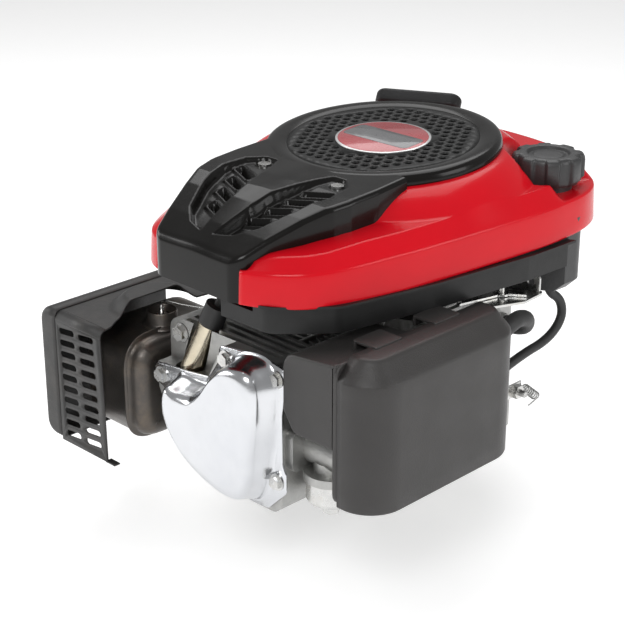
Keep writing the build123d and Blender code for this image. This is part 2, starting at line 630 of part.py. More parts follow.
def shroud_block(inset, drop):
    """Closed solid of the shroud's outer form, moved in by an inset and down by a drop."""
    side = loft([shroud_face(SHROUD_Z - 1 if drop else SHROUD_Z, inset), shroud_face(CREASE_Z - drop, inset + 2.5)],
                ruled=True)
    bevel = loft([shroud_face(CREASE_Z - drop, inset + 2.5), shroud_face(238 - drop, inset + 21)], ruled=True)
    dome = Pos(0, 0, 232 - drop) * extrude(Circle(128 - inset), amount=24, taper=52)
    with BuildSketch(Plane.YZ.offset(-200)) as roof:
        Polygon((-260, 150), (-260, 197 - drop), (-216, 212 - drop), (-199, 218 - drop), (-188, 223 - drop),
                (-162, 226 - drop), (-134, 232 - drop), (-97, 251 - drop), (0, 256 - drop),
                (260, 256 - drop), (260, 150), align=None)
    return (side + bevel + dome) & extrude(roof.sketch, amount=400)


cap_x = CAP_RADIUS * cos(radians(CAP_ANGLE))
cap_y = CAP_RADIUS * sin(radians(CAP_ANGLE))
grip_out = Vector(cos(radians(GRIP_ANGLE)), sin(radians(GRIP_ANGLE)), 0)
PULL_WAY = (grip_out * 0.73 + Vector(0, 0, 0.683)).normalized()
ROPE_EXIT = grip_out * 106 + Vector(0, 0, 250)

shroud_outer = shroud_block(0, 0)
shroud_inner = shroud_block(3, 3)
with BuildPart() as blower_shroud:
    add(shroud_outer - shroud_inner)
    add(tail_block(23, grow=0.4, ceiling=40), mode=Mode.SUBTRACT)
    for side in (-1, 1):
        disc(Plane((TAIL_X + side * SCREW_X, SCREW_Y, 220)), 3.2, 60, mode=Mode.SUBTRACT)
    disc(TOP_PLANE.offset(-30), 94, 60, mode=Mode.SUBTRACT)
    disc(TOP_PLANE.offset(-10.4), RING_R + 0.4, 60, mode=Mode.SUBTRACT)
    disc(Plane((cap_x, cap_y, 200)), 33, 60, mode=Mode.SUBTRACT)
    disc(facing(ROPE_EXIT - PULL_WAY * 30, PULL_WAY), 5, 60, mode=Mode.SUBTRACT)
nodes["blower_shroud"] = blower_shroud

with BuildPart() as top_cover:
    add(tail_block(22) - tail_block(60, grow=-2.5, ceiling=-2.5))
    disc(TOP_PLANE.offset(-10), RING_R, 10)
    disc(TOP_PLANE.offset(-60), GRILLE_R + 0.3, 80, mode=Mode.SUBTRACT)
    disc(TOP_PLANE.offset(-60), 90, 55.5, mode=Mode.SUBTRACT)
    for side in (-1, 1):
        for slot in range(4):
            centre = (TAIL_X + side * (24 + slot * 5.6), -168 + slot * 15.5, 190)
            with BuildSketch(Plane(centre)) as slot_sketch:
                SlotOverall(20, 4.8, rotation=side * 20)
            extrude(slot_sketch.sketch, amount=80, mode=Mode.SUBTRACT)
        disc(Plane((TAIL_X + side * SCREW_X, SCREW_Y, 190)), 3.2, 80, mode=Mode.SUBTRACT)
        disc(Plane((TAIL_X + side * SCREW_X, SCREW_Y, SCREW_Z - 5)), 6, 40, mode=Mode.SUBTRACT)
nodes["top_cover"] = top_cover

hole_pitch = 9.6
with BuildPart() as grille:
    with BuildSketch(TOP_PLANE.offset(-4.2)) as mesh:
        Circle(GRILLE_R)
        centres = []
        for row in range(-9, 10):
            for column in range(-9, 10):
                x = hole_pitch * (column + (row % 2) / 2)
                y = hole_pitch * row * 0.866
                if 43 < (x * x + y * y) ** 0.5 < GRILLE_R - 7:
                    centres.append((x, y))
        with Locations(*centres):
            Circle(3.3, mode=Mode.SUBTRACT)
    extrude(amount=3)
nodes["grille"] = grille

with BuildPart() as cover_screws:
    for side in (-1, 1):
        disc(Plane((TAIL_X + side * SCREW_X, SCREW_Y, SCREW_Z - 14)), 2.9, 10)
        disc(Plane((TAIL_X + side * SCREW_X, SCREW_Y, SCREW_Z - 4.9)), 5.5, 2.6)
nodes["cover_screws"] = cover_screws

# ---------------------------------------------------------------- recoil starter
with BuildPart() as recoil_housing:
    disc(Plane.XY.offset(212), 92, 2.5, hole=58)
    disc(Plane.XY.offset(212), 60, 30, hole=57.5)
    disc(Plane.XY.offset(239.5), 60, 2.5)
    disc(Plane.XY.offset(222), 6, 19)
    for arm in range(3):
        turn = radians(15 + 120 * arm)
        disc(Plane((85 * cos(turn), 85 * sin(turn), 213)), 5, 30)
    with Locations(Plane((58 * grip_out.X, 58 * grip_out.Y, 230), x_dir=grip_out, z_dir=(0, 0, 1))):
        Box(14, 26, 10, mode=Mode.SUBTRACT)
nodes["recoil_housing"] = recoil_housing

with BuildPart() as recoil_pulley:
    disc(Plane.XY.offset(223), 50, 14)
    disc(Plane.XY.offset(227), 60, 6, hole=41, mode=Mode.SUBTRACT)
    disc(Plane.XY.offset(208), 24, 16)
    disc(Plane.XY.offset(207), 21, 14, mode=Mode.SUBTRACT)
    disc(Plane.XY.offset(200), 6 + RUNNING, 50, mode=Mode.SUBTRACT)
nodes["recoil_pulley"] = recoil_pulley

GRIP_CENTRE = ROPE_EXIT + PULL_WAY * 17
along_grip = Vector(-grip_out.Y, grip_out.X, 0)
with BuildPart() as starter_grip:
    with BuildSketch(Plane(GRIP_CENTRE - PULL_WAY * 7, x_dir=along_grip, z_dir=PULL_WAY)) as bar:
        SlotOverall(78, 19)
    extrude(bar.sketch, amount=14)
    fillet(starter_grip.edges(), 4)
    disc(facing(GRIP_CENTRE - PULL_WAY * 11, PULL_WAY), 7, 5)
    disc(facing(GRIP_CENTRE - PULL_WAY * 20, PULL_WAY), 2.05, 22, mode=Mode.SUBTRACT)
nodes["starter_grip"] = starter_grip

with BuildPart() as starter_rope:
    disc(facing(ROPE_EXIT - PULL_WAY * 24, PULL_WAY), 2.0, 42)
nodes["starter_rope"] = starter_rope

# ---------------------------------------------------------------- fuel system
TANK_Z = (142.0, 205.0)
tank_outer = loft([shroud_face(TANK_Z[0], 18), shroud_face(TANK_Z[0] + 8, 10)], ruled=True)
tank_outer += extrude(shroud_face(TANK_Z[0] + 8, 10), amount=TANK_Z[1] - TANK_Z[0] - 8)
tank_outer &= extrude(Plane.XY.offset(TANK_Z[0] - 1) * tank_plan, amount=120)
tank_room = extrude(shroud_face(TANK_Z[0] + 3, 20), amount=TANK_Z[1] - TANK_Z[0] - 6)
tank_room &= extrude(Plane.XY.offset(TANK_Z[0] - 1) * tank_plan, amount=120)
tank_room -= extrude(Pos(0, 0, TANK_Z[0] - 1) * Circle(117), amount=120)
tank_room -= Pos(139, 66, 150) * Rot(0, 0, 26) * Box(90, 8, 120)
tank_room -= Pos(-122, 71, 150) * Rot(0, 0, -30) * Box(90, 8, 120)
with BuildPart() as fuel_tank:
    add(tank_outer)
    disc(Plane((cap_x, cap_y, TANK_Z[1] - 4)), 21, 240 - TANK_Z[1] + 4)
    disc(Plane((cap_x, cap_y, 150)), 16, 100, mode=Mode.SUBTRACT)
    add(tank_room, mode=Mode.SUBTRACT)
nodes["fuel_tank"] = fuel_tank

with BuildPart() as fuel_cap:
    cap_plane = Plane((cap_x, cap_y, 228))
    disc(cap_plane, 28, 24)
    for lobe in range(8):
        turn = radians(lobe * 45)
        with BuildSketch(cap_plane.offset(4)) as lobe_sketch:
            with Locations((25 * cos(turn), 25 * sin(turn))):
                Circle(6)
        extrude(lobe_sketch.sketch, amount=19)
    disc(cap_plane.offset(21), 17, 4, mode=Mode.SUBTRACT)
    disc(cap_plane, 21.4, 12.5, mode=Mode.SUBTRACT)
nodes["fuel_cap"] = fuel_cap

FUEL_ROUTE = [(112, 88, 142), (112, 88, 130), (116, 103, 120), (118, 104, 102), (118, 84, 88), (118, 48, 85),
              (118, 0, 74), (114, -50, 58), (110, -100, 47), (102, -124, 48), (102, -141, 48)]
with BuildPart() as fuel_hose:
    tube_along(FUEL_ROUTE, 4.0, "fuel_hose")
nodes["fuel_hose"] = fuel_hose

BREATHER_ROUTE = [(104, 42, 112), (124, 42, 112), (133, 34, 128), (133, 14, 132), (133, -14.6, 118)]
with BuildPart() as breather_hose:
    tube_along(BREATHER_ROUTE, 7.0, "breather_hose")
nodes["breather_hose"] = breather_hose

FILTER_X = (136.0, 141.0, 177.0)
FILTER_Y = (-200.0, -25.0)
FILTER_Z = (46.0, 150.0, 166.0)
with BuildPart() as filter_base:
    with BuildSketch(Plane.YZ.offset(FILTER_X[0])) as plate:
        with Locations(((FILTER_Y[0] + FILTER_Y[1]) / 2, 104)):
            RectangleRounded(FILTER_Y[1] - FILTER_Y[0], 116, 8)
    extrude(amount=FILTER_X[1] - FILTER_X[0])
    with BuildSketch(Plane((0, FILTER_Y[0], 0), x_dir=(1, 0, 0), z_dir=(0, 1, 0))) as side_view:
        Polygon((84, -112), (94, -90), (137, -90), (137, -158), (84, -158), align=None)
    extrude(amount=88)
    fillet(filter_base.edges().filter_by(Axis.Y).sort_by(Axis.X)[0:2], 12)
    with BuildSketch(Plane((0, FILTER_Y[0] + 3, 0), x_dir=(1, 0, 0), z_dir=(0, 1, 0))) as hollow:
        Polygon((87, -110), (96, -93), (150, -93), (150, -155), (87, -155), align=None)
        fillet(hollow.vertices().sort_by(Axis.X)[0:2], 9)
    extrude(amount=82, mode=Mode.SUBTRACT)
    with Locations((132, -40, 110)):
        Box(18, 30, 40)
    disc(facing((133, -14.6, 118), (0, -28.6, -14)), 5, 14)
    disc(Plane((130, CARB_Y, CARB_Z), z_dir=(1, 0, 0)), 11, 20, mode=Mode.SUBTRACT)
nodes["filter_base"] = filter_base


def filter_plan(z, inset):
    """Plan of the filter cover: square to the base, large round corners outside."""
    with BuildSketch(Plane.XY.offset(z)) as plan:
        with Locations(((FILTER_X[1] + FILTER_X[2] - inset) / 2, (FILTER_Y[0] + FILTER_Y[1]) / 2)):
            Rectangle(FILTER_X[2] - inset - FILTER_X[1], FILTER_Y[1] - FILTER_Y[0] - 2 * inset)
        fillet(plan.vertices().group_by(Axis.X)[-1], 32 - 1.7 * inset)
    return plan.sketch


with BuildPart() as filter_cover:
    add(extrude(filter_plan(FILTER_Z[0], 0), amount=FILTER_Z[1] - FILTER_Z[0], mode=Mode.PRIVATE))
    add(loft([filter_plan(FILTER_Z[1], 0), filter_plan(FILTER_Z[2], 14)], ruled=True, mode=Mode.PRIVATE))
    add(extrude(Pos(-1, 0, 0) * filter_plan(FILTER_Z[0] + 3, 2.5), amount=FILTER_Z[1] - FILTER_Z[0] - 4,
                mode=Mode.PRIVATE), mode=Mode.SUBTRACT)
    for tab_y in (-158, -84):
        with Locations((134, tab_y, FILTER_Z[2] - 0.5)):
            Box(24, 30, 2.4, align=(Align.CENTER, Align.CENTER, Align.MAX))
nodes["filter_cover"] = filter_cover

with BuildPart() as filter_element:
    with Locations((154, -112, 98)):
        Box(24, 130, 84)
    fillet(filter_element.edges().filter_by(Axis.X), 8)
nodes["filter_element"] = filter_element

with BuildPart() as carburetor:
    disc(Plane((82, CARB_Y, CARB_Z), z_dir=(1, 0, 0)), 15, 48)
    with BuildSketch(Plane((HEAD_X[1], CARB_Y, CARB_Z), z_dir=(1, 0, 0))) as flange_face:
        RectangleRounded(34, 52, 6)
    extrude(flange_face.sketch, amount=8)
    with BuildSketch(Plane((128, CARB_Y, CARB_Z), z_dir=(1, 0, 0))) as horn_face:
        RectangleRounded(34, 40, 6)
    extrude(horn_face.sketch, amount=7.6)
    disc(Plane((CARB_X + 12, CARB_Y, 44.5)), 22, 7)
    disc(Plane((CARB_X + 12, CARB_Y + 14, 48), z_dir=(0, 1, 0)), 3, 10)
    disc(Plane((CARB_X + 12, CARB_Y, 50)), 14, 10)
    for x in (96, 118):
        disc(Plane((x, CARB_Y, 72)), 6, 13.4)
    disc(Plane((70, CARB_Y, CARB_Z), z_dir=(1, 0, 0)), 9.5, 80, mode=Mode.SUBTRACT)
    for x in (96, 118):
        disc(Plane((x, CARB_Y, 53)), 3 + RUNNING, 50, mode=Mode.SUBTRACT)
nodes["carburetor"] = carburetor

with BuildPart() as float_bowl:
    disc(Plane((CARB_X + 12, CARB_Y, 24)), 20, 20.5)
    fillet(float_bowl.edges().group_by(Axis.Z)[0], 5)
    disc(Plane((CARB_X + 12, CARB_Y, 27)), 18, 30, mode=Mode.SUBTRACT)
    with BuildSketch(Plane((CARB_X + 12, CARB_Y, 14))) as nut:
        RegularPolygon(7, 6)
    extrude(nut.sketch, amount=10)
nodes["float_bowl"] = float_bowl

for shaft_name, x, arm_way in (("throttle_shaft", 96, (-11.5, 8)), ("choke_shaft", 118, (3.5, -15.5))):
    with BuildPart() as butterfly:
        disc(Plane((x, CARB_Y, 54)), 3, 34)
        disc(Plane((x - 0.6, CARB_Y, CARB_Z), z_dir=(1, 0, 0)), 9.2, 1.2)
        with BuildSketch(Plane((x, CARB_Y, 86))) as lever:
            Circle(6)
            with Locations(arm_way):
                Circle(3.0)
            with Locations((arm_way[0] / 2, arm_way[1] / 2)):
                Rectangle(hypot(*arm_way), 5, rotation=degrees(atan2(arm_way[1], arm_way[0])))
            if shaft_name == "throttle_shaft":
                with Locations(arm_way):
                    Circle(1.6, mode=Mode.SUBTRACT)
        extrude(lever.sketch, amount=2)
    nodes[shaft_name] = butterfly

# ---------------------------------------------------------------- governor and controls
with BuildPart() as governor_arm:
    disc(Plane((CASE_X[1] - 9, GOVERNOR_Y, GOVERNOR_Z), z_dir=(1, 0, 0)), 4, 18)
    with BuildSketch(Plane.YZ.offset(103)) as arm_sketch:
        with Locations((17, 102)):
            Rectangle(9, 96)
        with Locations((GOVERNOR_Y, GOVERNOR_Z)):
            Circle(10)
        with Locations((17, 150)):
            Circle(4.5)
            Circle(1.6, mode=Mode.SUBTRACT)
    extrude(arm_sketch.sketch, amount=2)
nodes["governor_arm"] = governor_arm

LINK_ROUTE = [(102.2, 17, 150), (94, 17, 150), (82.6, -82, 150), (82.6, -128, 98), (84.5, -157, 92.5),
              (84.5, -157, 89.2)]
with BuildPart() as governor_link:
    with BuildLine() as link_line:
        FilletPolyline(*LINK_ROUTE, radius=[3, 8, 8, 3])
    with BuildSketch(facing(LINK_ROUTE[0], (-1, 0, 0))) as wire:
        Circle(1.1)
    sweep(wire.sketch, path=link_line.wires()[0])
nodes["governor_link"] = governor_link

with BuildPart() as control_bracket:
    with BuildSketch(Plane.XY.offset(146)) as bracket_plan:
        Polygon((78, -8), (128, -8), (140, 20), (138, 48), (98, 48), (78, 44), align=None)
        fillet(bracket_plan.vertices(), 5)
        with Locations((103, 12)):
            Rectangle(13, 44, mode=Mode.SUBTRACT)
    extrude(bracket_plan.sketch, amount=2)
    for foot in ((86, 0), (86, 34)):
        disc(Plane((*foot, CASE_TOP)), 6, 5)
    with BuildSketch(Plane((128, 44, 147), x_dir=(1, 0, 0), z_dir=(0, -1, 0))) as clamp_tab:
        with Locations((0, 8)):
            RectangleRounded(18, 17, 4)
        with Locations((0, 9)):
            Circle(3.6, mode=Mode.SUBTRACT)
    extrude(clamp_tab.sketch, amount=2)
    disc(Plane((116, 18, 147)), 4, 8)
nodes["control_bracket"] = control_bracket

with BuildPart() as control_lever:
    with BuildSketch(Plane.XY.offset(148.4)) as lever_plan:
        with Locations((116, 18)):
            Circle(8)
        with Locations((111, -3)):
            Rectangle(46, 9, rotation=76)
        with Locations((125, 25)):
            Rectangle(20, 9, rotation=36)
        with Locations((116, 18)):
            Circle(4 + RUNNING, mode=Mode.SUBTRACT)
        with Locations((106.5, -22)):
            Circle(1.8, mode=Mode.SUBTRACT)
    extrude(lever_plan.sketch, amount=2)
nodes["control_lever"] = control_lever

with BuildPart() as governor_spring:
    disc(Plane((106, -30, 154), z_dir=(0, -1, 0)), 4.5, 40, hole=3.3)
nodes["governor_spring"] = governor_spring

# ---------------------------------------------------------------- exhaust
MUFFLER_X = (-152.0, -80.0)
MUFFLER_Y = (-225.0, -95.0)
MUFFLER_Z = (25.0, 122.0)
with BuildPart() as muffler:
    with Locations(((MUFFLER_X[0] + MUFFLER_X[1]) / 2, (MUFFLER_Y[0] + MUFFLER_Y[1]) / 2,
                    (MUFFLER_Z[0] + MUFFLER_Z[1]) / 2)):
        Box(MUFFLER_X[1] - MUFFLER_X[0], MUFFLER_Y[1] - MUFFLER_Y[0], MUFFLER_Z[1] - MUFFLER_Z[0])
    fillet(muffler.edges(), 16)
    add(offset(muffler.part, amount=-1.6, mode=Mode.PRIVATE), mode=Mode.SUBTRACT)
    disc(Plane((-102, -160, MUFFLER_Z[1] - 3)), 13, 12)
    disc(Plane((-102, -160, MUFFLER_Z[1] - 6)), 10.5, 20, mode=Mode.SUBTRACT)
    disc(Plane((-82, EXHAUST_Y, VALVE_Z[1]), z_dir=(1, 0, 0)), 12, 13)
    with BuildSketch(Plane((HEAD_X[0] - 5, EXHAUST_Y, VALVE_Z[1]), z_dir=(1, 0, 0))) as port_flange:
        RectangleRounded(28, 56, 8)
    extrude(port_flange.sketch, amount=5)
    disc(Plane((-90, EXHAUST_Y, VALVE_Z[1]), z_dir=(1, 0, 0)), 9.5, 40, mode=Mode.SUBTRACT)
nodes["muffler"] = muffler

GUARD_X = (-176.0, -97.0)
GUARD_Y = (-235.0, -98.0)
GUARD_Z = (13.0, 130.0)
with BuildPart() as guard_front:
    with BuildSketch(Plane((0, GUARD_Y[0] + 1.6, 0), x_dir=(1, 0, 0), z_dir=(0, -1, 0))) as panel:
        with Locations(((-160 + GUARD_X[1]) / 2, (GUARD_Z[0] + GUARD_Z[1] - 4) / 2)):
            Rectangle(GUARD_X[1] + 160, GUARD_Z[1] - GUARD_Z[0] - 4)
        for column in (-145, -115):
            for row in range(10):
                with Locations((column, 26 + row * 9.6 + (column + 145) * 0.03)):
                    SlotOverall(21, 5.2, rotation=-8, mode=Mode.SUBTRACT)
    extrude(panel.sketch, amount=1.6)
    with Locations((-128.5, (GUARD_Y[0] + GUARD_Y[1]) / 2, GUARD_Z[1] - 4.8)):
        Box(63, GUARD_Y[1] - GUARD_Y[0], 1.6)
    with Locations((-103, GUARD_Y[0] - 0.6 + 5, GUARD_Z[0] + 0.8)):
        Box(12, 10, 1.6)
    with Locations((-100, -160, GUARD_Z[1])):
        Box(44, 60, 30, mode=Mode.SUBTRACT)
nodes["guard_front"] = guard_front

with BuildPart() as guard_shell:
    with BuildSketch(Plane((0, GUARD_Y[0] + 2, 0), x_dir=(1, 0, 0), z_dir=(0, 1, 0))) as shell_face:
        with Locations(((GUARD_X[0] - 140) / 2, -(GUARD_Z[0] + GUARD_Z[1]) / 2 - 2)):
            RectangleRounded(-140 - GUARD_X[0], GUARD_Z[1] - GUARD_Z[0], 14)
        with Locations(((GUARD_X[0] - 140) / 2, -(GUARD_Z[0] + GUARD_Z[1]) / 2 - 2)):
            RectangleRounded(-140 - GUARD_X[0] - 3.2, GUARD_Z[1] - GUARD_Z[0] - 3.2, 12.4, mode=Mode.SUBTRACT)
        with Locations((-140, -(GUARD_Z[0] + GUARD_Z[1]) / 2 - 2)):
            Rectangle(44, 200, mode=Mode.SUBTRACT)
    extrude(amount=GUARD_Y[1] - GUARD_Y[0] - 2)
nodes["guard_shell"] = guard_shell

# ---------------------------------------------------------------- oil filler
with BuildPart() as dipstick:
    disc(facing(DIP_FOOT + DIP_WAY * 2, DIP_WAY), 2.0, 60)
    disc(facing(DIP_FOOT + DIP_WAY * 54, DIP_WAY), 13, 12)
    with BuildSketch(facing(DIP_FOOT + DIP_WAY * 66, DIP_WAY)) as dip_grip:
        SlotOverall(26, 8)
    extrude(dip_grip.sketch, amount=10)
nodes["dipstick"] = dipstick

for name, piece in nodes.items():
    piece.part.label = name
    export_step(piece.part, f"parts/{name}.step")
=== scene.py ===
"""Picture model of the small vertical-shaft engine: looks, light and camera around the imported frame.

Sizes in this file are millimetres in the row's frame; M turns them into Blender's metres.
"""
import json
import math
from math import atan2, cos, hypot, pi, radians, sin, sqrt

import bmesh
import bpy
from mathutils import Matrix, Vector


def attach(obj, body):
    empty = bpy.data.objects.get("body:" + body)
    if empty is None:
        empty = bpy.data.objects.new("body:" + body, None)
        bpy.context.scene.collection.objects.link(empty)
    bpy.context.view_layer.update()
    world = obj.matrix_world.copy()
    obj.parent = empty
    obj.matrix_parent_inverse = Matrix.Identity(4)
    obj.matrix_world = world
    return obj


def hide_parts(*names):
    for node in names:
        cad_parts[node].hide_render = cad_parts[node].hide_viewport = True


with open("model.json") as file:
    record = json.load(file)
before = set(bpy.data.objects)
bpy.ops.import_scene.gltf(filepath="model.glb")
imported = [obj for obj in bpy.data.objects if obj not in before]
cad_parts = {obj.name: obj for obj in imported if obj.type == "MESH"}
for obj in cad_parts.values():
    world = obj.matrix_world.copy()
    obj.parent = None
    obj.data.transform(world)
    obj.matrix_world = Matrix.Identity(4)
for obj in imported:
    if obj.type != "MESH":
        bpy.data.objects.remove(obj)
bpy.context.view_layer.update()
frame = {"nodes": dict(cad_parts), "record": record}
nodes = frame["nodes"]
M = 0.001


# ---------------------------------------------------------------- materials
def material(name, color, rough, metal=0.0, vary=0.12, vary_scale=40, rough_vary=0.08, bump=0.0, bump_scale=300,
             coat=0.0, coat_rough=0.05, dirt=None, dirt_amount=0.0, dirt_scale=25, stretch=(1, 1, 1),
             specular=0.5):
    """Procedural finish: colour and roughness drift, an optional second tint in patches, and a fine bump."""
    made = bpy.data.materials.new(name)
    made.use_nodes = True
    tree = made.node_tree
    shader = tree.nodes["Principled BSDF"]
    shader.inputs["Metallic"].default_value = metal
    shader.inputs["Specular IOR Level"].default_value = specular
    shader.inputs["Coat Weight"].default_value = coat
    shader.inputs["Coat Roughness"].default_value = coat_rough
    where = tree.nodes.new("ShaderNodeTexCoord")
    scale = tree.nodes.new("ShaderNodeMapping")
    scale.inputs["Scale"].default_value = stretch
    tree.links.new(where.outputs["Object"], scale.inputs["Vector"])

    def noise(size, detail=5.0, roughness=0.6):
        made_noise = tree.nodes.new("ShaderNodeTexNoise")
        made_noise.inputs["Scale"].default_value = size
        made_noise.inputs["Detail"].default_value = detail
        made_noise.inputs["Roughness"].default_value = roughness
        tree.links.new(scale.outputs["Vector"], made_noise.inputs["Vector"])
        return made_noise

    drift = noise(vary_scale)
    ramp = tree.nodes.new("ShaderNodeValToRGB")
    ramp.color_ramp.elements[0].position = 0.3
    ramp.color_ramp.elements[1].position = 0.7
    ramp.color_ramp.elements[0].color = (*[c * (1 - vary) for c in color], 1)
    ramp.color_ramp.elements[1].color = (*[min(1.0, c * (1 + vary)) for c in color], 1)
    tree.links.new(drift.outputs["Fac"], ramp.inputs["Fac"])
    colour_out = ramp.outputs["Color"]
    if dirt:
        patches = noise(dirt_scale, 8.0, 0.7)
        mask = tree.nodes.new("ShaderNodeMapRange")
        mask.inputs["From Min"].default_value = 0.48
        mask.inputs["From Max"].default_value = 0.72
        mask.inputs["To Max"].default_value = dirt_amount
        tree.links.new(patches.outputs["Fac"], mask.inputs["Value"])
        blend = tree.nodes.new("ShaderNodeMix")
        blend.data_type = "RGBA"
        blend.inputs["B"].default_value = (*dirt, 1)
        tree.links.new(mask.outputs["Result"], blend.inputs["Factor"])
        tree.links.new(colour_out, blend.inputs["A"])
        colour_out = blend.outputs["Result"]
    tree.links.new(colour_out, shader.inputs["Base Color"])
    sheen = noise(vary_scale * 2.3, 6.0)
    spread = tree.nodes.new("ShaderNodeMapRange")
    spread.inputs["From Min"].default_value = 0.25
    spread.inputs["From Max"].default_value = 0.75
    spread.inputs["To Min"].default_value = max(0.02, rough - rough_vary)
    spread.inputs["To Max"].default_value = min(1.0, rough + rough_vary)
    tree.links.new(sheen.outputs["Fac"], spread.inputs["Value"])
    tree.links.new(spread.outputs["Result"], shader.inputs["Roughness"])
    if bump:
        grain = noise(bump_scale, 3.0, 0.5)
        lift = tree.nodes.new("ShaderNodeBump")
        lift.inputs["Strength"].default_value = bump
        lift.inputs["Distance"].default_value = 0.0006
        tree.links.new(grain.outputs["Fac"], lift.inputs["Height"])
        tree.links.new(lift.outputs["Normal"], shader.inputs["Normal"])
    return made


FINISH = {
    "red_paint": material("red_paint", (0.62, 0.004, 0.012), 0.22, vary=0.05, vary_scale=14, rough_vary=0.05,
                          bump=0.03, bump_scale=260, coat=0.14, coat_rough=0.04, specular=0.16),
    "gloss_black": material("gloss_black", (0.006, 0.0055, 0.005), 0.2, vary=0.2, vary_scale=20, rough_vary=0.05,
                            bump=0.04, bump_scale=220, coat=0.1, coat_rough=0.05, specular=0.2),
    "black_steel": material("black_steel", (0.012, 0.012, 0.012), 0.4, vary=0.2, rough_vary=0.08, bump=0.1,
                            bump_scale=500, specular=0.3),
    "heat_black": material("heat_black", (0.03, 0.0295, 0.029), 0.5, vary=0.12, rough_vary=0.06, bump=0.35,
                           bump_scale=900, dirt=(0.075, 0.066, 0.058), dirt_amount=0.5),
    "matte_black": material("matte_black", (0.016, 0.016, 0.0165), 0.5, vary=0.2, rough_vary=0.1, bump=0.4,
                            bump_scale=700, specular=0.25),
    "filter_plastic": material("filter_plastic", (0.03, 0.028, 0.027), 0.46, vary=0.1, vary_scale=18,
                               rough_vary=0.06, bump=0.45, bump_scale=1100),
    "tank_plastic": material("tank_plastic", (0.035, 0.035, 0.036), 0.42, vary=0.15, rough_vary=0.08, bump=0.25,
                             bump_scale=500),
    "black_rubber": material("black_rubber", (0.022, 0.022, 0.022), 0.55, vary=0.2, rough_vary=0.1, bump=0.25,
                             bump_scale=900),
    "nylon": material("nylon", (0.72, 0.70, 0.62), 0.45, vary=0.05, bump=0.1),
    "filter_foam": material("filter_foam", (0.09, 0.085, 0.08), 0.95, vary=0.4, vary_scale=500, bump=1.0,
                            bump_scale=800),
    "rope": material("rope", (0.04, 0.04, 0.042), 0.85, vary=0.4, vary_scale=600, bump=1.0, bump_scale=900),
    "cast_aluminium": material("cast_aluminium", (0.42, 0.42, 0.41), 0.4, metal=1.0, vary=0.1, vary_scale=60,
                               rough_vary=0.1, bump=0.5, bump_scale=800, dirt=(0.3, 0.29, 0.27), dirt_amount=0.35),
    "bright_zinc": material("bright_zinc", (0.66, 0.67, 0.69), 0.2, metal=1.0, vary=0.05, vary_scale=18,
                            rough_vary=0.06, bump=0.07, bump_scale=320, dirt=(0.5, 0.52, 0.56), dirt_amount=0.3,
                            dirt_scale=12),
    "zinc_steel": material("zinc_steel", (0.6, 0.6, 0.59), 0.28, metal=1.0, vary=0.08, vary_scale=90,
                           rough_vary=0.05, bump=0.03, bump_scale=500, dirt=(0.5, 0.43, 0.3), dirt_amount=0.25,
                           dirt_scale=70),
    "machined_steel": material("machined_steel", (0.52, 0.52, 0.51), 0.3, metal=1.0, vary=0.08, rough_vary=0.08,
                               bump=0.25, bump_scale=400, stretch=(1, 1, 12)),
    "cast_steel": material("cast_steel", (0.22, 0.22, 0.22), 0.5, metal=1.0, vary=0.15, bump=0.6, bump_scale=600),
    "muffler_steel": material("muffler_steel", (0.11, 0.1, 0.092), 0.36, metal=0.85, vary=0.15, vary_scale=16,
                              rough_vary=0.1, bump=0.3, bump_scale=700, dirt=(0.25, 0.19, 0.13), dirt_amount=0.6,
                              dirt_scale=14),
    "plug_steel": material("plug_steel", (0.60, 0.54, 0.42), 0.22, metal=1.0, vary=0.1, vary_scale=50,
                           rough_vary=0.08, bump=0.1, bump_scale=300, dirt=(0.42, 0.33, 0.2), dirt_amount=0.5,
                           dirt_scale=40),
}
slot_of = {part["node"]: part["material_slot"] for part in frame["record"]["subparts"]}

# edge rounding of the carried-over solids, by node; the others get the default
EDGE = {"crankcase": 0.7, "cylinder_head": 0.7, "sump_cover": 1.0, "grille": 0.0, "fuel_tank": 1.5,
        "blower_base": 0.8, "starter_grip": 0.0}
EDGE_DEFAULT = 0.35
for name, obj in nodes.items():
    obj.data.materials.clear()
    obj.data.materials.append(FINISH[slot_of[name]])
    custom = obj.data.attributes.get("custom_normal")
    if custom:
        obj.data.attributes.remove(custom)
    obj.data.polygons.foreach_set("use_smooth", [True] * len(obj.data.polygons))
    obj.data.polygons.foreach_set("material_index", [0] * len(obj.data.polygons))
    weld = obj.modifiers.new("weld", "WELD")
    weld.merge_threshold = 0.00001
    width = EDGE.get(name, EDGE_DEFAULT)
    if width:
        bevel = obj.modifiers.new("edges", "BEVEL")
        bevel.width = width * M
        bevel.segments = 2
        bevel.limit_method = "ANGLE"
        bevel.angle_limit = radians(32)
        bevel.harden_normals = True
        bevel.use_clamp_overlap = True


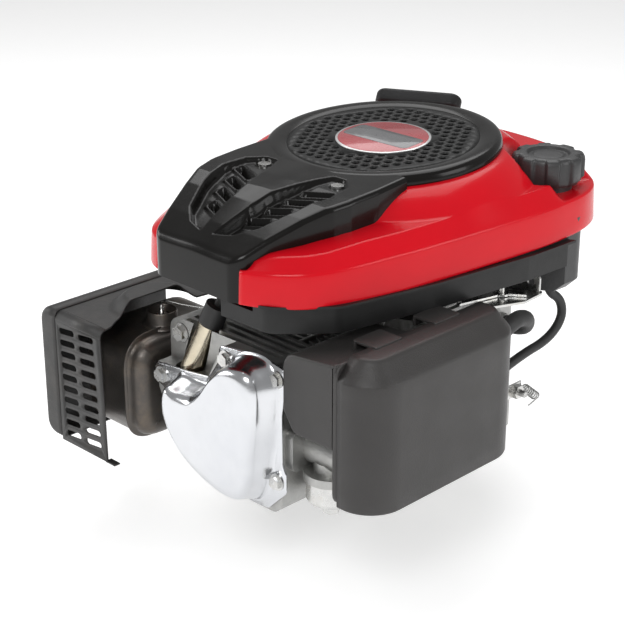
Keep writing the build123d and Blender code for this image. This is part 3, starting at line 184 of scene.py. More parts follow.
# ---------------------------------------------------------------- mesh helpers
def piece(name, verts, faces, body, slot, replaces=(), finish=None, smooth=True, solid=0.0, bevel=0.0, subsurf=0):
    """Mesh piece from millimetre points: rides on a body, takes a slot's finish, may stand for CAD nodes."""
    mesh = bpy.data.meshes.new(name)
    mesh.from_pydata([(x * M, y * M, z * M) for x, y, z in verts], [], faces)
    mesh.validate()
    work = bmesh.new()
    work.from_mesh(mesh)
    bmesh.ops.remove_doubles(work, verts=work.verts, dist=0.000002)
    bmesh.ops.recalc_face_normals(work, faces=work.faces)
    work.to_mesh(mesh)
    work.free()
    mesh.polygons.foreach_set("use_smooth", [smooth] * len(mesh.polygons))
    obj = bpy.data.objects.new(name, mesh)
    bpy.context.scene.collection.objects.link(obj)
    mesh.materials.append(finish or FINISH[slot])
    if solid:
        thick = obj.modifiers.new("thickness", "SOLIDIFY")
        thick.thickness = abs(solid) * M
        thick.offset = -1 if solid > 0 else 1
    if bevel:
        edge = obj.modifiers.new("edges", "BEVEL")
        edge.width = bevel * M
        edge.segments = 3
        edge.limit_method = "ANGLE"
        edge.angle_limit = radians(35)
        edge.harden_normals = True
    if subsurf:
        fine = obj.modifiers.new("smooth", "SUBSURF")
        fine.levels = subsurf
        fine.render_levels = subsurf
    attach(obj, body)
    if replaces:
        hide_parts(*replaces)
    return obj


def grid(rows, closed=False, cap_start=False, cap_end=False):
    """Points and quads of a surface given as rows of points; closed joins each row's ends."""
    verts = [p for row in rows for p in row]
    count = len(rows[0])
    faces = []
    for i in range(len(rows) - 1):
        for j in range(count if closed else count - 1):
            k = (j + 1) % count
            faces.append((i * count + j, i * count + k, (i + 1) * count + k, (i + 1) * count + j))
    if cap_start:
        faces.append(tuple(range(count - 1, -1, -1)))
    if cap_end:
        last = (len(rows) - 1) * count
        faces.append(tuple(range(last, last + count)))
    return verts, faces


def join(*shapes):
    """Several (verts, faces) pairs as one."""
    verts, faces = [], []
    for more_verts, more_faces in shapes:
        base = len(verts)
        verts += more_verts
        faces += [tuple(i + base for i in face) for face in more_faces]
    return verts, faces


def along(table, x):
    """Straight-line reading of a table of (x, value), held at its ends."""
    if x <= table[0][0]:
        return table[0][1]
    for (x0, v0), (x1, v1) in zip(table, table[1:]):
        if x <= x1:
            return v0 + (v1 - v0) * (x - x0) / (x1 - x0)
    return table[-1][1]


def ease(low, high, x):
    """Smooth step from 0 at low to 1 at high."""
    t = min(1.0, max(0.0, (x - low) / (high - low)))
    return t * t * (3 - 2 * t)


def soft_min(a, b, width):
    """The smaller of two values, rounded where they cross."""
    share = max(width - abs(a - b), 0.0) / width
    return min(a, b) - share * share * width / 4


def closed_spline(points, count):
    """Even samples of a closed Catmull-Rom curve through 2-D points."""
    fine = []
    total = len(points)
    for i in range(total):
        p0, p1, p2, p3 = (points[(i + k - 1) % total] for k in range(4))
        for step in range(24):
            t = step / 24
            fine.append(tuple(0.5 * (2 * b + (c - a) * t + (2 * a - 5 * b + 4 * c - d) * t * t
                                     + (3 * b - a - 3 * c + d) * t ** 3)
                              for a, b, c, d in zip(p0, p1, p2, p3)))
    return resample(fine, count)


def resample(ring, count):
    """A closed 2-D ring at even spacing."""
    lengths = [0.0]
    for a, b in zip(ring, ring[1:] + ring[:1]):
        lengths.append(lengths[-1] + hypot(b[0] - a[0], b[1] - a[1]))
    out = []
    seg = 0
    for k in range(count):
        goal = lengths[-1] * k / count
        while lengths[seg + 1] < goal:
            seg += 1
        a, b = ring[seg], ring[(seg + 1) % len(ring)]
        t = (goal - lengths[seg]) / max(1e-9, lengths[seg + 1] - lengths[seg])
        out.append((a[0] + (b[0] - a[0]) * t, a[1] + (b[1] - a[1]) * t))
    return out


def rounded(points, radius, count):
    """Closed polygon with round corners, evenly sampled; radius is one number or one per corner."""
    radii = radius if isinstance(radius, (list, tuple)) else [radius] * len(points)
    ring = []
    total = len(points)
    for i in range(total):
        before, corner, after = (Vector(points[(i + k - 1) % total]) for k in range(3))
        into, away = (before - corner), (after - corner)
        half = into.angle(away) / 2
        reach = min(radii[i] / math.tan(half), into.length * 0.49, away.length * 0.49)
        a, b = corner + into.normalized() * reach, corner + away.normalized() * reach
        for step in range(9):
            t = step / 8
            p = a * (1 - t) ** 2 + corner * 2 * t * (1 - t) + b * t * t
            ring.append((p.x, p.y))
    return resample(ring, count)


def inset(ring, amount):
    """A counter-clockwise closed ring moved inwards along its own normals."""
    total = len(ring)
    out = []
    for i in range(total):
        ax, ay = ring[i - 1]
        bx, by = ring[(i + 1) % total]
        size = hypot(bx - ax, by - ay) or 1.0
        out.append((ring[i][0] - (by - ay) / size * amount, ring[i][1] + (bx - ax) / size * amount))
    return out


def basis(way):
    """Two unit vectors square to a direction."""
    way = Vector(way).normalized()
    side = way.cross(Vector((0, 0, 1)) if abs(way.z) < 0.9 else Vector((1, 0, 0))).normalized()
    return side, way.cross(side).normalized()


def turned(profile, foot, way, count=48):
    """Surface of revolution: profile is (radius, height) pairs along a direction from a foot point."""
    way = Vector(way).normalized()
    a, b = basis(way)
    rows = []
    for radius, height in profile:
        centre = Vector(foot) + way * height
        rows.append([tuple(centre + (a * cos(2 * pi * k / count) + b * sin(2 * pi * k / count)) * max(radius, 0.01))
                     for k in range(count)])
    return grid(rows, closed=True)


def wire(name, points, radius, body, slot, replaces=(), spline="NURBS", finish=None):
    """Round wire or hose on one smooth curve; points in millimetres."""
    data = bpy.data.curves.new(name, "CURVE")
    data.dimensions = "3D"
    data.bevel_depth = radius * M
    data.bevel_resolution = 6
    data.resolution_u = 16
    data.use_fill_caps = True
    line = data.splines.new(spline)
    line.points.add(len(points) - 1)
    for point, place in zip(line.points, points):
        point.co = (place[0] * M, place[1] * M, place[2] * M, 1)
    if spline == "NURBS":
        line.order_u = 3
        line.use_endpoint_u = True
    obj = bpy.data.objects.new(name, data)
    bpy.context.scene.collection.objects.link(obj)
    data.materials.append(finish or FINISH[slot])
    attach(obj, body)
    if replaces:
        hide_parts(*replaces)
    return obj


def helix(start, end, radius, turns, steps=14):
    """Points of a coil between two points."""
    start, end = Vector(start), Vector(end)
    a, b = basis(end - start)
    count = int(turns * steps)
    return [tuple(start.lerp(end, k / count) + (a * cos(2 * pi * k / steps) + b * sin(2 * pi * k / steps)) * radius)
            for k in range(count + 1)]


# ---------------------------------------------------------------- red shroud
TOP_TILT = radians(4)         # the grille leans this much towards the front
TILT = math.tan(TOP_TILT)
OUTLINE = [(45, -215), (80, -200), (105, -172), (122, -115), (131, -65), (138, -12), (143, 32), (144, 63), (141, 97),
           (129, 124), (104, 146), (70, 162), (30, 170), (-15, 171), (-55, 160), (-90, 137), (-112, 104),
           (-122, 62), (-124, 15), (-121, -35), (-113, -85), (-101, -130), (-86, -170), (-64, -200), (-30, -212),
           (5, -215)]
CAP = (105.0, 88.0)
VALVE_PORT_Z = 82.0
AROUND = 288
outline = closed_spline(OUTLINE, AROUND)
TAIL_EDGE = [(-214, 46.5), (-140, 76.0), (-125, 79.5), (-95, 80.5), (-60, 79.0)]
LEDGE = [(-216, 212.5), (-199, 219), (-188, 223.5), (-162, 226), (-134, 232), (-120, 246), (-100, 270)]


def red_height(x, y):
    """Height of the shroud's top inside its second crease."""
    crease = along([(-200, 227), (-115, 230), (0, 234), (90, 236), (170, 236)], y)
    rim = 253.5 + TILT * y
    share = min(1.0, max(0.0, (129 - hypot(x, y)) / 31))
    height = crease + (rim - crease) * sin(share * pi / 2)
    height = soft_min(height, along(LEDGE, y), 5)
    away = hypot(x - CAP[0], y - CAP[1])
    floor = 222.5
    height = floor + (height - floor) * ease(31.5, 39, away) if height > floor else height
    if y < -92 and abs(x - 3) < along(TAIL_EDGE, y) - 3:
        height = min(height, along(LEDGE, y) - 7)
    return height


def side_top(y):
    return along([(-216, 212.5), (-200, 214), (-119, 218), (60, 222), (170, 223)], y)


def behind_tail(ring):
    """The shroud's front edge moved back where the black tail stands in front of it."""
    return [(x, y + 7 * ease(47.5, 45.0, abs(x - 3)) if y < -190 else y) for x, y in ring]


LOWER_EDGE = [(-216, 187), (0, 190), (170, 194)]
SIDE_FOOT = 190
CREASE_INSET = 14
RING_EDGE = 96.5
CREST_STEPS = 44
rows = []
for step, lift in ((2.6, 2.5), (2.4, 0.3), (1.2, -0.1), (0.2, 0.5), (0.0, 1.6)):
    rows.append([(x, y, along(LOWER_EDGE, y) + lift)
                 for (x, y) in behind_tail(inset(outline, step))])
for share in (0.35, 0.7):
    rows.append([(x, y, SIDE_FOOT + (side_top(y) - SIDE_FOOT) * share)
                 for (x, y) in behind_tail(inset(outline, 1.4 * share))])
for drop, step in ((2.0, 1.35), (0.7, 1.6), (-0.3, 2.4)):
    rows.append([(x, y, side_top(y) - drop) for (x, y) in behind_tail(inset(outline, step))])
crease_line = inset(outline, CREASE_INSET)
side_line = behind_tail(inset(outline, 2.4))
for share in (0.2, 0.45, 0.7, 0.9):
    row = []
    for (ax, ay), (bx, by) in zip(side_line, crease_line):
        x, y = ax + (bx - ax) * share, ay + (by - ay) * share
        low, high = side_top(ay) + 0.3, red_height(bx, by)
        row.append((x, y, low + (high - low) * share))
    rows.append(row)
for k in range(CREST_STEPS + 1):
    share = k / CREST_STEPS
    row = []
    for (bx, by) in crease_line:
        turn = atan2(by, bx)
        x = bx + (RING_EDGE * cos(turn) - bx) * share
        y = by + (RING_EDGE * sin(turn) - by) * share
        row.append((x, y, red_height(x, y)))
    rows.append(row)
piece("red_shroud", *grid(rows, closed=True), "root", "red_paint", replaces=["blower_shroud"])

# ---------------------------------------------------------------- black top: tail, ring
CENTRE_X = 3.0
TOP_LINE = [(-216, 217.5), (-210, 222.5), (-190, 233), (-162, 245), (-144, 251), (-120, 254), (-98, 255.5),
            (-60, 258)]
RECESS = [(7, -199), (24, -194), (38, -182), (52, -155), (60, -128), (57, -106), (44, -94), (31, -94), (25, -108),
          (15, -145)]


RECESS_DEPTH = [(-200, 7.5), (-170, 10), (-140, 9), (-110, 4.5), (-92, 3)]
SLOT_TURN = radians(20)
SCREW_SPOT = (41.5, -101)


def inside_depth(points, x, y):
    """Distance to a polygon's border, positive inside."""
    best = 1e9
    inside = False
    for (ax, ay), (bx, by) in zip(points, points[1:] + points[:1]):
        dx, dy = bx - ax, by - ay
        t = min(1.0, max(0.0, ((x - ax) * dx + (y - ay) * dy) / (dx * dx + dy * dy)))
        best = min(best, hypot(x - ax - t * dx, y - ay - t * dy))
        if (ay > y) != (by > y) and x < ax + (y - ay) * dx / dy:
            inside = not inside
    return best if inside else -best


def tail_height(x, y, edge):
    """Height of the tail's top at a place; edge is the distance to the nearest side."""
    across = abs(x - CENTRE_X)
    height = along(TOP_LINE, y) + 0.8 * ease(30, 0, across)
    height -= along(RECESS_DEPTH, y) * ease(-0.6, 3.2, inside_depth(RECESS, across, y))
    for slot_number in range(4):
        sx, sy = 24 + slot_number * 5.6, -168 + slot_number * 15.5
        dx, dy = across - sx, y - sy
        u = dx * cos(SLOT_TURN) + dy * sin(SLOT_TURN)
        v = -dx * sin(SLOT_TURN) + dy * cos(SLOT_TURN)
        reach = 9.5 + slot_number * 1.1
        if abs(u) < reach + 3 and abs(v) < 6.5:
            rim = ease(6.2, 4.4, abs(v)) * ease(reach + 2.6, reach + 0.8, abs(u))
            hole = ease(3.4, 2.4, abs(v)) * ease(reach, reach - 1.0, abs(u))
            height += 1.5 * rim - 9 * hole
    screw = hypot(across - SCREW_SPOT[0], y - SCREW_SPOT[1])
    height -= 3.0 * ease(6.0, 5.2, screw)
    if edge < 4:
        height -= 4 - sqrt(max(0.0, 16 - (4 - edge) ** 2))
    return height


def tail_side(y):
    """Half width of the tail."""
    half = along(TAIL_EDGE, y)
    if y < -205:
        half -= 9 - sqrt(max(0.0, 81 - (9 - (y + 214)) ** 2))
    return half


rows = []
ys = [-214, -213.8, -213.2, -212.2, -210.8, -209, -207.3, -206, -205] + [-204 + 1.0 * k for k in range(143)]
front_low = 186.5
for y in ys:
    half = tail_side(y)
    low = front_low if y < -205 else min(228.0, max(front_low, along(LEDGE, y) - 8))
    outs = [0.0, 0.25, 0.9, 2.0, 3.2, 4.5]
    middle = half - 4.5
    xs = [-(half - o) for o in outs]
    xs += [-middle + 2 * middle * k / 110 for k in range(1, 110)]
    xs += [half - o for o in reversed(outs)]
    front = y + 214
    line = [(CENTRE_X - half, y, low)]
    for x in xs:
        edge = min(half - abs(x), front)
        place = y
        if y > -110:
            back = -sqrt(max(62.0 ** 2, 88.0 ** 2 - x * x))
            place = -110 + (y + 110) / 48.0 * (back + 110)
        line.append((CENTRE_X + x, place, tail_height(CENTRE_X + x, place, edge)))
    line.append((CENTRE_X + half, y, low))
    rows.append(line)
rows.insert(0, [(x, y, front_low) for x, y, z in rows[0]])
piece("top_tail", *grid(rows), "root", "gloss_black", replaces=["top_cover"])

ring_profile = [(79.8, -6.5), (79.8, -2.0), (80.4, -1.0), (81.6, -0.7), (84.5, 0.2), (90, 0.7), (94.5, 0.2),
                (96.9, -1.0), (98.2, -3.0), (98.8, -6.0), (99.2, -13.5), (98.0, -14.5)]
GRILLE_CENTRE = (0, 0, 262)
up = (0, -sin(TOP_TILT), cos(TOP_TILT))
piece("top_ring", *turned(ring_profile, GRILLE_CENTRE, up, 160), "root", "gloss_black")

# ---------------------------------------------------------------- label in the grille
plane_side = Vector((1, 0, 0))
plane_front = Vector((0, cos(TOP_TILT), sin(TOP_TILT)))
plane_up = Vector(up)
top_centre = Vector(GRILLE_CENTRE)


def on_top(x, y, lift):
    return tuple(top_centre + plane_side * x + plane_front * y + plane_up * lift)


def flat_patch(ring, lift, thick=0.6):
    """A flat closed patch on the grille's plane with a small rounded edge."""
    return grid([[on_top(x, y, lift - thick) for x, y in ring],
                 [on_top(x, y, lift - 0.15) for x, y in ring],
                 [on_top(x, y, lift) for x, y in inset(ring, 0.25)]], closed=True, cap_start=True, cap_end=True)


def oval(rx, ry, count=72):
    return [(rx * cos(2 * pi * k / count), ry * sin(2 * pi * k / count)) for k in range(count)]


label_red = material("label_red", (0.42, 0.05, 0.06), 0.28, vary=0.06, coat=0.6)
label_grey = material("label_grey", (0.12, 0.12, 0.125), 0.3, vary=0.1, coat=0.5)
label_silver = material("label_silver", (0.62, 0.62, 0.62), 0.3, metal=0.6, vary=0.05)
piece("label_base", *flat_patch(oval(41.5, 38.0), -0.6, 1.4), "root", "gloss_black", finish=label_silver)
piece("label_field", *flat_patch(oval(39.5, 36.0), -0.3, 0.8), "root", "gloss_black", finish=label_red)
piece("label_band", *flat_patch(rounded([(-35.5, -13), (35.5, -13), (35.5, 13), (-35.5, 13)], 5, 64), -0.05, 0.5),
      "root", "gloss_black", finish=label_grey)

# ---------------------------------------------------------------- valve cover
COVER_FLANGE = [(-68, 98), (-68, 83), (-51, 75), (-42, 60), (-36, 40), (-34, 23), (-19, 20), (0, 22), (14, 16),
                (38, 13), (64, 14), (84, 34), (84, 50), (80, 60), (80, 100), (84, 122), (84, 138), (66, 141),
                (30, 139), (11, 137), (9, 122), (-2, 106), (-30, 102), (-56, 100)]
# outline of the raised part: at its foot, then on its face
DOME = [((-36, 96), (-25, 90)), ((-39, 79), (-29, 78)), ((-34, 61), (-25, 65)), ((-24, 46), (-17, 54)),
        ((-9, 34), (-4, 44)), ((14, 23), (15, 36)), ((38, 18), (36, 31)), ((57, 22), (50, 33)), ((67, 40), (56, 42)),
        ((71, 65), (57, 60)), ((77, 98), (57, 98)), ((77, 124), (56, 120)), ((66, 139), (51, 127)),
        ((42, 138), (36, 124)), ((24, 126), (24, 112)), ((13, 110), (11, 96)), ((0, 99), (0, 87)),
        ((-16, 97), (-13, 86))]


def across_y(ring, y):
    return [(x, y, z) for x, z in ring]


def spline_by_corner(points, steps=12):
    """Closed Catmull-Rom curve with the same number of samples between each pair of corners."""
    total = len(points)
    out = []
    for i in range(total):
        p0, p1, p2, p3 = (points[(i + k - 1) % total] for k in range(4))
        for step in range(steps):
            t = step / steps
            out.append(tuple(0.5 * (2 * b + (c - a) * t + (2 * a - 5 * b + 4 * c - d) * t * t
                                    + (3 * b - a - 3 * c + d) * t ** 3) for a, b, c, d in zip(p0, p1, p2, p3)))
    return out


flange = rounded(COVER_FLANGE, 5.5, 260)
piece("cover_flange", *grid([across_y(flange, -195.1), across_y(flange, -196.4),
                             across_y(inset(flange, 0.5), -197.0)], closed=True, cap_start=True, cap_end=True),
      "root", "bright_zinc", replaces=["valve_cover"])
foot_ring = spline_by_corner([foot for foot, face in DOME])
face_ring = spline_by_corner([face for foot, face in DOME])


def dome_row(share, y, grow=0.0):
    ring = [(a[0] + (b[0] - a[0]) * share, a[1] + (b[1] - a[1]) * share) for a, b in zip(foot_ring, face_ring)]
    return across_y(inset(ring, -grow), y)


rows = [dome_row(0, -196.9, 3.2), dome_row(0, -197.4, 1.9), dome_row(0, -198.6, 0.8), dome_row(0.02, -201.0, 0.2),
        dome_row(0.10, -205.0), dome_row(0.2, -209.0), dome_row(0.3, -212.5)]
for k in range(1, 11):
    turn = radians(9 * k)
    rows.append(dome_row(0.3 + 0.62 * (1 - cos(turn)), -212.5 - 9.3 * sin(turn)))
rows.append(dome_row(1.0, -222.0))
rows.append(dome_row(1.0, -222.0, -1.0))
piece("cover_dome", *grid(rows, closed=True, cap_end=True), "root", "bright_zinc")

# ---------------------------------------------------------------- air filter
BACK_X = 141.0


def open_plan(a, z):
    """The filter cover's plan at a height, moved in by a: open along its back."""
    x1, y0, y1 = 177 - a, -200 + a, -25 - a
    corner = max(9.0, 31 - 1.3 * a)
    line = [(BACK_X, y1, z)]
    for k in range(13):
        t = pi / 2 * k / 12
        line.append((x1 - corner + corner * sin(t), y1 - corner + corner * cos(t), z))
    for k in range(13):
        t = pi / 2 * k / 12
        line.append((x1 - corner + corner * cos(t), y0 + corner - corner * sin(t), z))
    return line + [(BACK_X, y0, z)]


def onto_back(line, share, drop=0.0):
    """A row drawn towards the straight line along its back."""
    return [(BACK_X + (x - BACK_X) * (1 - share), y, z - drop) for x, y, z in line]


rows = [open_plan(2.2, 46.0), open_plan(0.8, 46.2), open_plan(0.1, 47.4), open_plan(0, 60), open_plan(0, 100),
        open_plan(0, 140), open_plan(0, 148.4), open_plan(0.3, 149.6), open_plan(1.1, 150.8), open_plan(4, 153.8),
        open_plan(9, 159.4), open_plan(12.3, 163.4), open_plan(13.6, 164.9), open_plan(15.2, 165.8),
        open_plan(17, 166.0)]
rows += [onto_back(rows[-1], share) for share in (0.3, 0.6, 0.97)]
piece("filter_shell", *grid(rows), "filter_cover", "filter_plastic", replaces=["filter_cover"], solid=2.2)


def rounded_box(low, high, radius=1.0, steps=3):
    """Block with its upright and level edges rounded."""
    (x0, y0, z0), (x1, y1, z1) = low, high
    ring = rounded([(x0, y0), (x1, y0), (x1, y1), (x0, y1)], radius, 48)
    curve = [(radius * 0.9 * (1 - sin(pi / 2 * k / steps)), radius * (1 - cos(pi / 2 * k / steps)))
             for k in range(steps + 1)]
    lower = [[(x, y, z0 + rise) for x, y in inset(ring, step)] for step, rise in curve]
    upper = [[(x, y, z1 - rise) for x, y in inset(ring, step)] for step, rise in reversed(curve)]
    return grid(lower + upper, closed=True, cap_start=True, cap_end=True)


for number, tab_y in enumerate((-152, -86)):
    piece(f"filter_tab_{number}", *join(rounded_box((125, tab_y - 14.5, 164.4), (148, tab_y + 14.5, 167.2), 0.9),
                                        rounded_box((124.4, tab_y - 14.5, 158.5), (127.2, tab_y + 14.5, 167.0), 0.8)),
          "filter_cover", "filter_plastic")

loaf = rounded([(139, 91), (139, 160.5), (84.5, 155), (84, 108), (95, 91)], [2, 2, 15, 12, 9], 180)
rows = [across_y(inset(loaf, -d), y) for d, y in ((-3.0, -200.0), (-1.6, -199.9), (-0.7, -199.4), (0.0, -198.2),
                                                 (0.0, -150.0), (0.0, -114.0), (-0.8, -112.6), (-2.2, -112.0))]
piece("filter_duct", *grid(rows, closed=True, cap_start=True, cap_end=True), "root", "filter_plastic",
      replaces=["filter_base"])
plate = rounded([(-200, 47), (-25, 47), (-25, 161), (-200, 161)], 9, 160)
piece("filter_plate", *grid([[(x, y, z) for y, z in inset(plate, d)] for d, x in
                             ((1.2, 135.8), (0.2, 136.4), (0.0, 137.2), (0.0, 139.8), (0.3, 140.6), (1.2, 140.8))],
                            closed=True, cap_start=True, cap_end=True), "root", "filter_plastic")
piece("filter_stub", *join(rounded_box((124, -54, 91), (137, -26, 129), 3.0),
                           turned([(0.01, 0), (5, 0), (5.2, 1), (5, 13.5), (4.4, 14), (0.01, 14)], (133, -14.6, 118),
                                  (0, -28.6, -14), 40)), "root", "filter_plastic")

# ---------------------------------------------------------------- muffler and its guard
def yz_ring(ring, x):
    return [(x, y, z) for y, z in ring]


can = rounded([(-208, 21), (-96, 21), (-96, 111), (-208, 111)], [26, 22, 22, 26], 220)
rows = [yz_ring(inset(can, 15), -151.4)]
for k in range(1, 9):
    turn = radians(90 * k / 8)
    rows.append(yz_ring(inset(can, 13 * (1 - sin(turn))), -151.4 + 13 * (1 - cos(turn))))
rows += [yz_ring(inset(can, -d), x) for d, x in ((0, -120), (0, -94.4), (0.3, -93.8), (2.3, -93.4), (2.6, -92.6),
                                                (2.3, -91.8), (0.2, -91.4), (-1.2, -90.8))]
for k in range(1, 9):
    turn = radians(90 * k / 8)
    rows.append(yz_ring(inset(can, 1.2 + 14 * (1 - cos(turn))), -88.5 + 13 * sin(turn)))
rows.append(yz_ring(inset(can, 16.2), -75.4))
piece("muffler_can", *grid(rows, closed=True, cap_start=True, cap_end=True), "root", "muffler_steel",
      replaces=["muffler"])
piece("muffler_outlet", *turned([(17.5, -1.2), (17.0, 0.4), (14.4, 1.0), (13.4, 2.4), (13.2, 11.4), (12.8, 12.4),
                                 (12.2, 12.5), (11.7, 11.9), (11.5, -5.0)], (-102, -160, 111.5), (0, 0, 1), 64),
      "root", "muffler_steel")
piece("muffler_stud", *turned([(0.01, 13.2), (1.7, 13.0), (2.0, 12.2), (2.0, 5.2), (5.4, 5.0), (5.6, 4.4), (5.6, 0.2),
                               (11.6, 0.0), (11.6, -1.0)], (-102, -160, 114.5), (0, 0, 1), 24), "root", "zinc_steel")
piece("muffler_port", *turned([(12.2, 0), (12, 1), (12, 13.5)], (-84, -162, VALVE_PORT_Z), (1, 0, 0), 48), "root",
      "muffler_steel")

LEFT, SEAM, RIGHT = -172.0, -149.5, -90.0
GUARD_FRONT, GUARD_BACK, GUARD_LOW, GUARD_HIGH = -235.5, -98.0, 12.5, 129.5


def shell_line(a, y):
    """The guard's left sheet seen from the front, moved in by a: open at the seam."""
    x0, z0, z1 = LEFT + a, GUARD_LOW + a, GUARD_HIGH + 0.8 - a
    corner = max(3.0, 13 - a)
    line = [(SEAM, y, z1)]
    for k in range(11):
        t = pi / 2 * k / 10
        line.append((x0 + corner - corner * sin(t), y, z1 - corner + corner * cos(t)))
    for k in range(11):
        t = pi / 2 * k / 10
        line.append((x0 + corner - corner * cos(t), y, z0 + corner - corner * sin(t)))
    return line + [(SEAM, y, z0)]


rows = [shell_line(0, y) for y in (GUARD_BACK, -140, -190, -226)]
for k in range(1, 9):
    turn = radians(90 * k / 8)
    rows.append(shell_line(6 * (1 - cos(turn)), -229.5 - 6 * sin(turn)))
for share in (0.35, 0.7, 0.97):
    rows.append([(x + (SEAM - x) * share, y, z) for x, y, z in shell_line(6, -235.5)])
piece("guard_case", *grid(rows), "root", "heat_black", replaces=["guard_shell"], solid=1.4)


def flat_sheet(name, outline_ring, holes, place, thick):
    """Sheet with holes: a filled 2-D curve turned into a mesh, then put in place point by point."""
    data = bpy.data.curves.new(name + "_plan", "CURVE")
    data.dimensions = "2D"
    data.fill_mode = "BOTH"
    data.extrude = thick / 2 * M
    for ring in [outline_ring] + holes:
        spline = data.splines.new("POLY")
        spline.points.add(len(ring) - 1)
        for point, (u, v) in zip(spline.points, ring):
            point.co = (u * M, v * M, 0, 1)
        spline.use_cyclic_u = True
    holder = bpy.data.objects.new(name + "_plan", data)
    bpy.context.scene.collection.objects.link(holder)
    bpy.context.view_layer.update()
    made = bpy.data.meshes.new_from_object(holder.evaluated_get(bpy.context.evaluated_depsgraph_get()))
    verts = [place(v.co.x / M, v.co.y / M, v.co.z / M) for v in made.vertices]
    faces = [tuple(f.vertices) for f in made.polygons]
    bpy.data.objects.remove(holder)
    bpy.data.meshes.remove(made)
    return verts, faces


def slot_ring(cx, cz, length, width, tilt, count=8):
    ring = []
    half = (length - width) / 2
    for side in (1, -1):
        for k in range(count + 1):
            t = -pi / 2 + pi * k / count
            u, v = side * (half + width / 2 * cos(t)), side * width / 2 * sin(t)
            ring.append((cx + u * cos(tilt) - v * sin(tilt), cz + u * sin(tilt) + v * cos(tilt)))
    return ring


SLOT_PITCH = 10.35
slots = [slot_ring(x + drift * row, top - SLOT_PITCH * row, 20.5, 5.6, radians(6))
         for x, top, drift in ((-134.5, 115.5, 0.2), (-109, 117, 0.4)) for row in range(10)]
panel = flat_sheet("panel", [(SEAM + 0.6, GUARD_LOW), (RIGHT + 1.8, GUARD_LOW), (RIGHT, 122.5), (SEAM + 0.6, 122.5)],
                   slots, lambda x, z, d: (x, GUARD_FRONT + 0.8 + d, z), 1.4)
bend = []
for k in range(10):
    turn = radians(10 * k)
    y, z = GUARD_FRONT + 7.1 - 7 * cos(turn), 122.5 + 7 * sin(turn)
    bend.append([(SEAM + 0.6, y, z), (RIGHT, y, z)])


def deflector(x, y):
    """Height of the pressed dome over the outlet."""
    return 11.0 * ease(1.0, 0.58, hypot((x + 104) / 36, (y + 166) / 40))


TOP_RIGHT = [(-229, -90), (-222, -91.5), (-212, -98), (-203, -102.5), (-196, -104), (-142, -104), (-136, -102),
             (-130, -92), (-98, -88)]
rows = []
for k in range(100):
    y = -228.4 + 130.4 * k / 99
    right = along(TOP_RIGHT, y)
    left = SEAM + 0.6
    xs = [left + (right - left) * i / 50 for i in range(51)]
    rows.append([(x, y, GUARD_HIGH + deflector(x, y)) for x in xs])
piece("guard_panel", *panel, "root", "heat_black", replaces=["guard_front"])
piece("guard_top", *join(grid(bend), grid(rows)), "root", "heat_black", solid=1.3)
piece("guard_foot", *rounded_box((-91, -235.2, 11.6), (-79, -229, 13.0), 0.5), "root", "heat_black")
wire("stop_wire", [(-102, -160, 126), (-102, -160, 131), (-97, -161, 133.5), (-60, -168, 141), (-31, -174, 149)],
     0.7, "root", "zinc_steel")

# ---------------------------------------------------------------- fuel cap
cap_rows = []
CAP_STEPS = 240
for reach, height, lobed in ((21.6, 228.2, 0), (25.2, 228.0, 0), (26.2, 228.8, 0.3), (26.4, 231.0, 0.5),
                             (26.6, 232.6, 1), (26.6, 246.5, 1), (26.2, 249.0, 1), (25.2, 250.8, 1),
                             (23.4, 251.8, 0.9), (21.0, 252.0, 0.1), (18.6, 252.0, 0), (17.6, 251.4, 0),
                             (17.0, 249.6, 0), (16.2, 249.0, 0), (13.4, 249.1, 0), (12.6, 249.9, 0),
                             (11.4, 250.1, 0), (6, 250.2, 0), (0.6, 250.2, 0)):
    row = []
    for k in range(CAP_STEPS):
        turn = 2 * pi * k / CAP_STEPS
        radius = reach + 3.6 * lobed * ease(-0.35, 0.3, cos(8 * turn))
        row.append((CAP[0] + radius * cos(turn), CAP[1] + radius * sin(turn), height))
    cap_rows.append(row)
piece("cap_body", *grid(cap_rows, closed=True, cap_end=True), "fuel_cap", "tank_plastic", replaces=["fuel_cap"])

# ---------------------------------------------------------------- hoses and leads (routes as in the solid model)
FUEL = [(112, 88, 142), (112, 88, 130), (116, 103, 120), (118, 104, 102), (118, 84, 88), (118, 48, 85),
        (118, 0, 74), (114, -50, 58), (110, -100, 47), (102, -124, 48), (102, -141, 48)]
BREATHER = [(104, 42, 112), (124, 42, 112), (133, 34, 128), (133, 14, 132), (133, -14.6, 118)]
LEAD = [(-19.3, -169.7, 153.9), (-13, -165.4, 172), (-20, -140, 180), (-36, -112, 179), (-56.2, -85, 178)]
fuel = wire("fuel_line", FUEL, 4.0, "root", "black_rubber", ["fuel_hose"])
breather = wire("breather_elbow", BREATHER, 7.0, "root", "black_rubber", ["breather_hose"])
lead = wire("spark_lead", LEAD, 3.5, "root", "black_rubber", ["ignition_lead"])

# ---------------------------------------------------------------- governor spring and hose clip
coil = helix((106, -30, 154), (106, -66, 154), 3.9, 22)
wire("regulator_spring", [(106, -24, 152.5), (106, -27, 156)] + coil + [(106, -70, 156), (106, -74, 152)], 0.55,
     "root", "machined_steel", ["governor_spring"])
wire("hose_clip", helix((112, 88, 135), (112, 88, 132.4), 4.5, 2), 0.6, "root", "machined_steel")

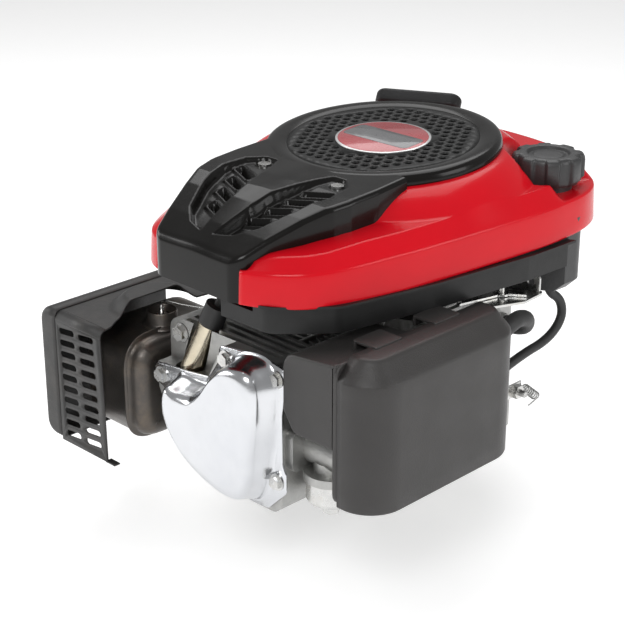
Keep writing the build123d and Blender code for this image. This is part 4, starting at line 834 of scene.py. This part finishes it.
# ---------------------------------------------------------------- clamp at the governor arm's foot
CLAMP_BOLT = (106.8, 57, 45)
piece("arm_clamp", *rounded_box((105.2, 14, 39), (106.8, 66, 52), 0.7), "governor_arm", "zinc_steel")
piece("arm_clamp_nut", *turned([(0.01, 0), (6.4, 0), (6.4, 5.2), (0.01, 5.2)], CLAMP_BOLT, (1, 0, 0), 6),
      "governor_arm", "zinc_steel", smooth=False)
piece("arm_clamp_bolt", *turned([(3.0, 0), (3.0, 11), (2.5, 11.7), (0.01, 11.7)], CLAMP_BOLT, (1, 0, 0), 32),
      "governor_arm", "machined_steel")
arm_coil = helix((109.5, 66, 46), (112, 80, 34), 3.6, 7)
wire("arm_clamp_spring", [(107.4, 62, 49)] + arm_coil + [(112, 70, 28)], 0.65, "governor_arm", "machined_steel")

# ---------------------------------------------------------------- floor, light, camera
floor_mesh = bpy.data.meshes.new("floor")
FLOOR_REACH, FLOOR_Z = 6, -0.0605
floor_mesh.from_pydata([(x * FLOOR_REACH, y * FLOOR_REACH, FLOOR_Z) for x, y in ((-1, -1), (1, -1), (1, 1), (-1, 1))],
                       [], [(0, 1, 2, 3)])
floor = bpy.data.objects.new("floor", floor_mesh)
bpy.context.scene.collection.objects.link(floor)
paper = material("paper", (0.93, 0.93, 0.93), 0.9, vary=0.01, specular=0.1)
paper.node_tree.nodes["Principled BSDF"].inputs["Emission Color"].default_value = (1, 1, 1, 1)
paper.node_tree.nodes["Principled BSDF"].inputs["Emission Strength"].default_value = 0.4
floor_mesh.materials.append(paper)


def soft_box(name, place, aim, size, power, size_y=None):
    data = bpy.data.lights.new(name, "AREA")
    data.shape = "RECTANGLE"
    data.size = size
    data.size_y = size_y or size
    data.energy = power
    obj = bpy.data.objects.new(name, data)
    obj.location = place
    obj.rotation_mode = "QUATERNION"
    obj.rotation_quaternion = (Vector(aim) - Vector(place)).to_track_quat("-Z", "Y")
    bpy.context.scene.collection.objects.link(obj)


soft_box("key", (0.9, -1.6, 1.5), (0, -0.05, 0.12), 0.9, 19)
soft_box("top", (-0.5, 0.5, 1.5), (0, 0, 0.2), 1.3, 13)
soft_box("left", (-1.6, -0.9, 0.7), (0, -0.1, 0.1), 0.8, 9)
soft_box("right", (1.7, 0.6, 0.8), (0.1, 0, 0.12), 0.9, 9)

world = bpy.data.worlds.new("studio")
bpy.context.scene.world = world
world.use_nodes = True
world.node_tree.nodes["Background"].inputs["Color"].default_value = (1, 1, 1, 1)
world.node_tree.nodes["Background"].inputs["Strength"].default_value = 0.34
bpy.context.scene.view_settings.view_transform = "Standard"

camera_data = bpy.data.cameras.new("camera")
camera = bpy.data.objects.new("camera", camera_data)
camera.location = (0.8576, -0.9467, 0.6295)
camera.rotation_mode = "QUATERNION"
camera.rotation_quaternion = (Vector((-0.0672, -0.0154, 0.0885)) - camera.location).to_track_quat("-Z", "Y")
camera_data.sensor_width = 36
camera_data.lens = 91.6
camera_data.clip_start = 0.05
bpy.context.scene.collection.objects.link(camera)
bpy.context.scene.camera = camera
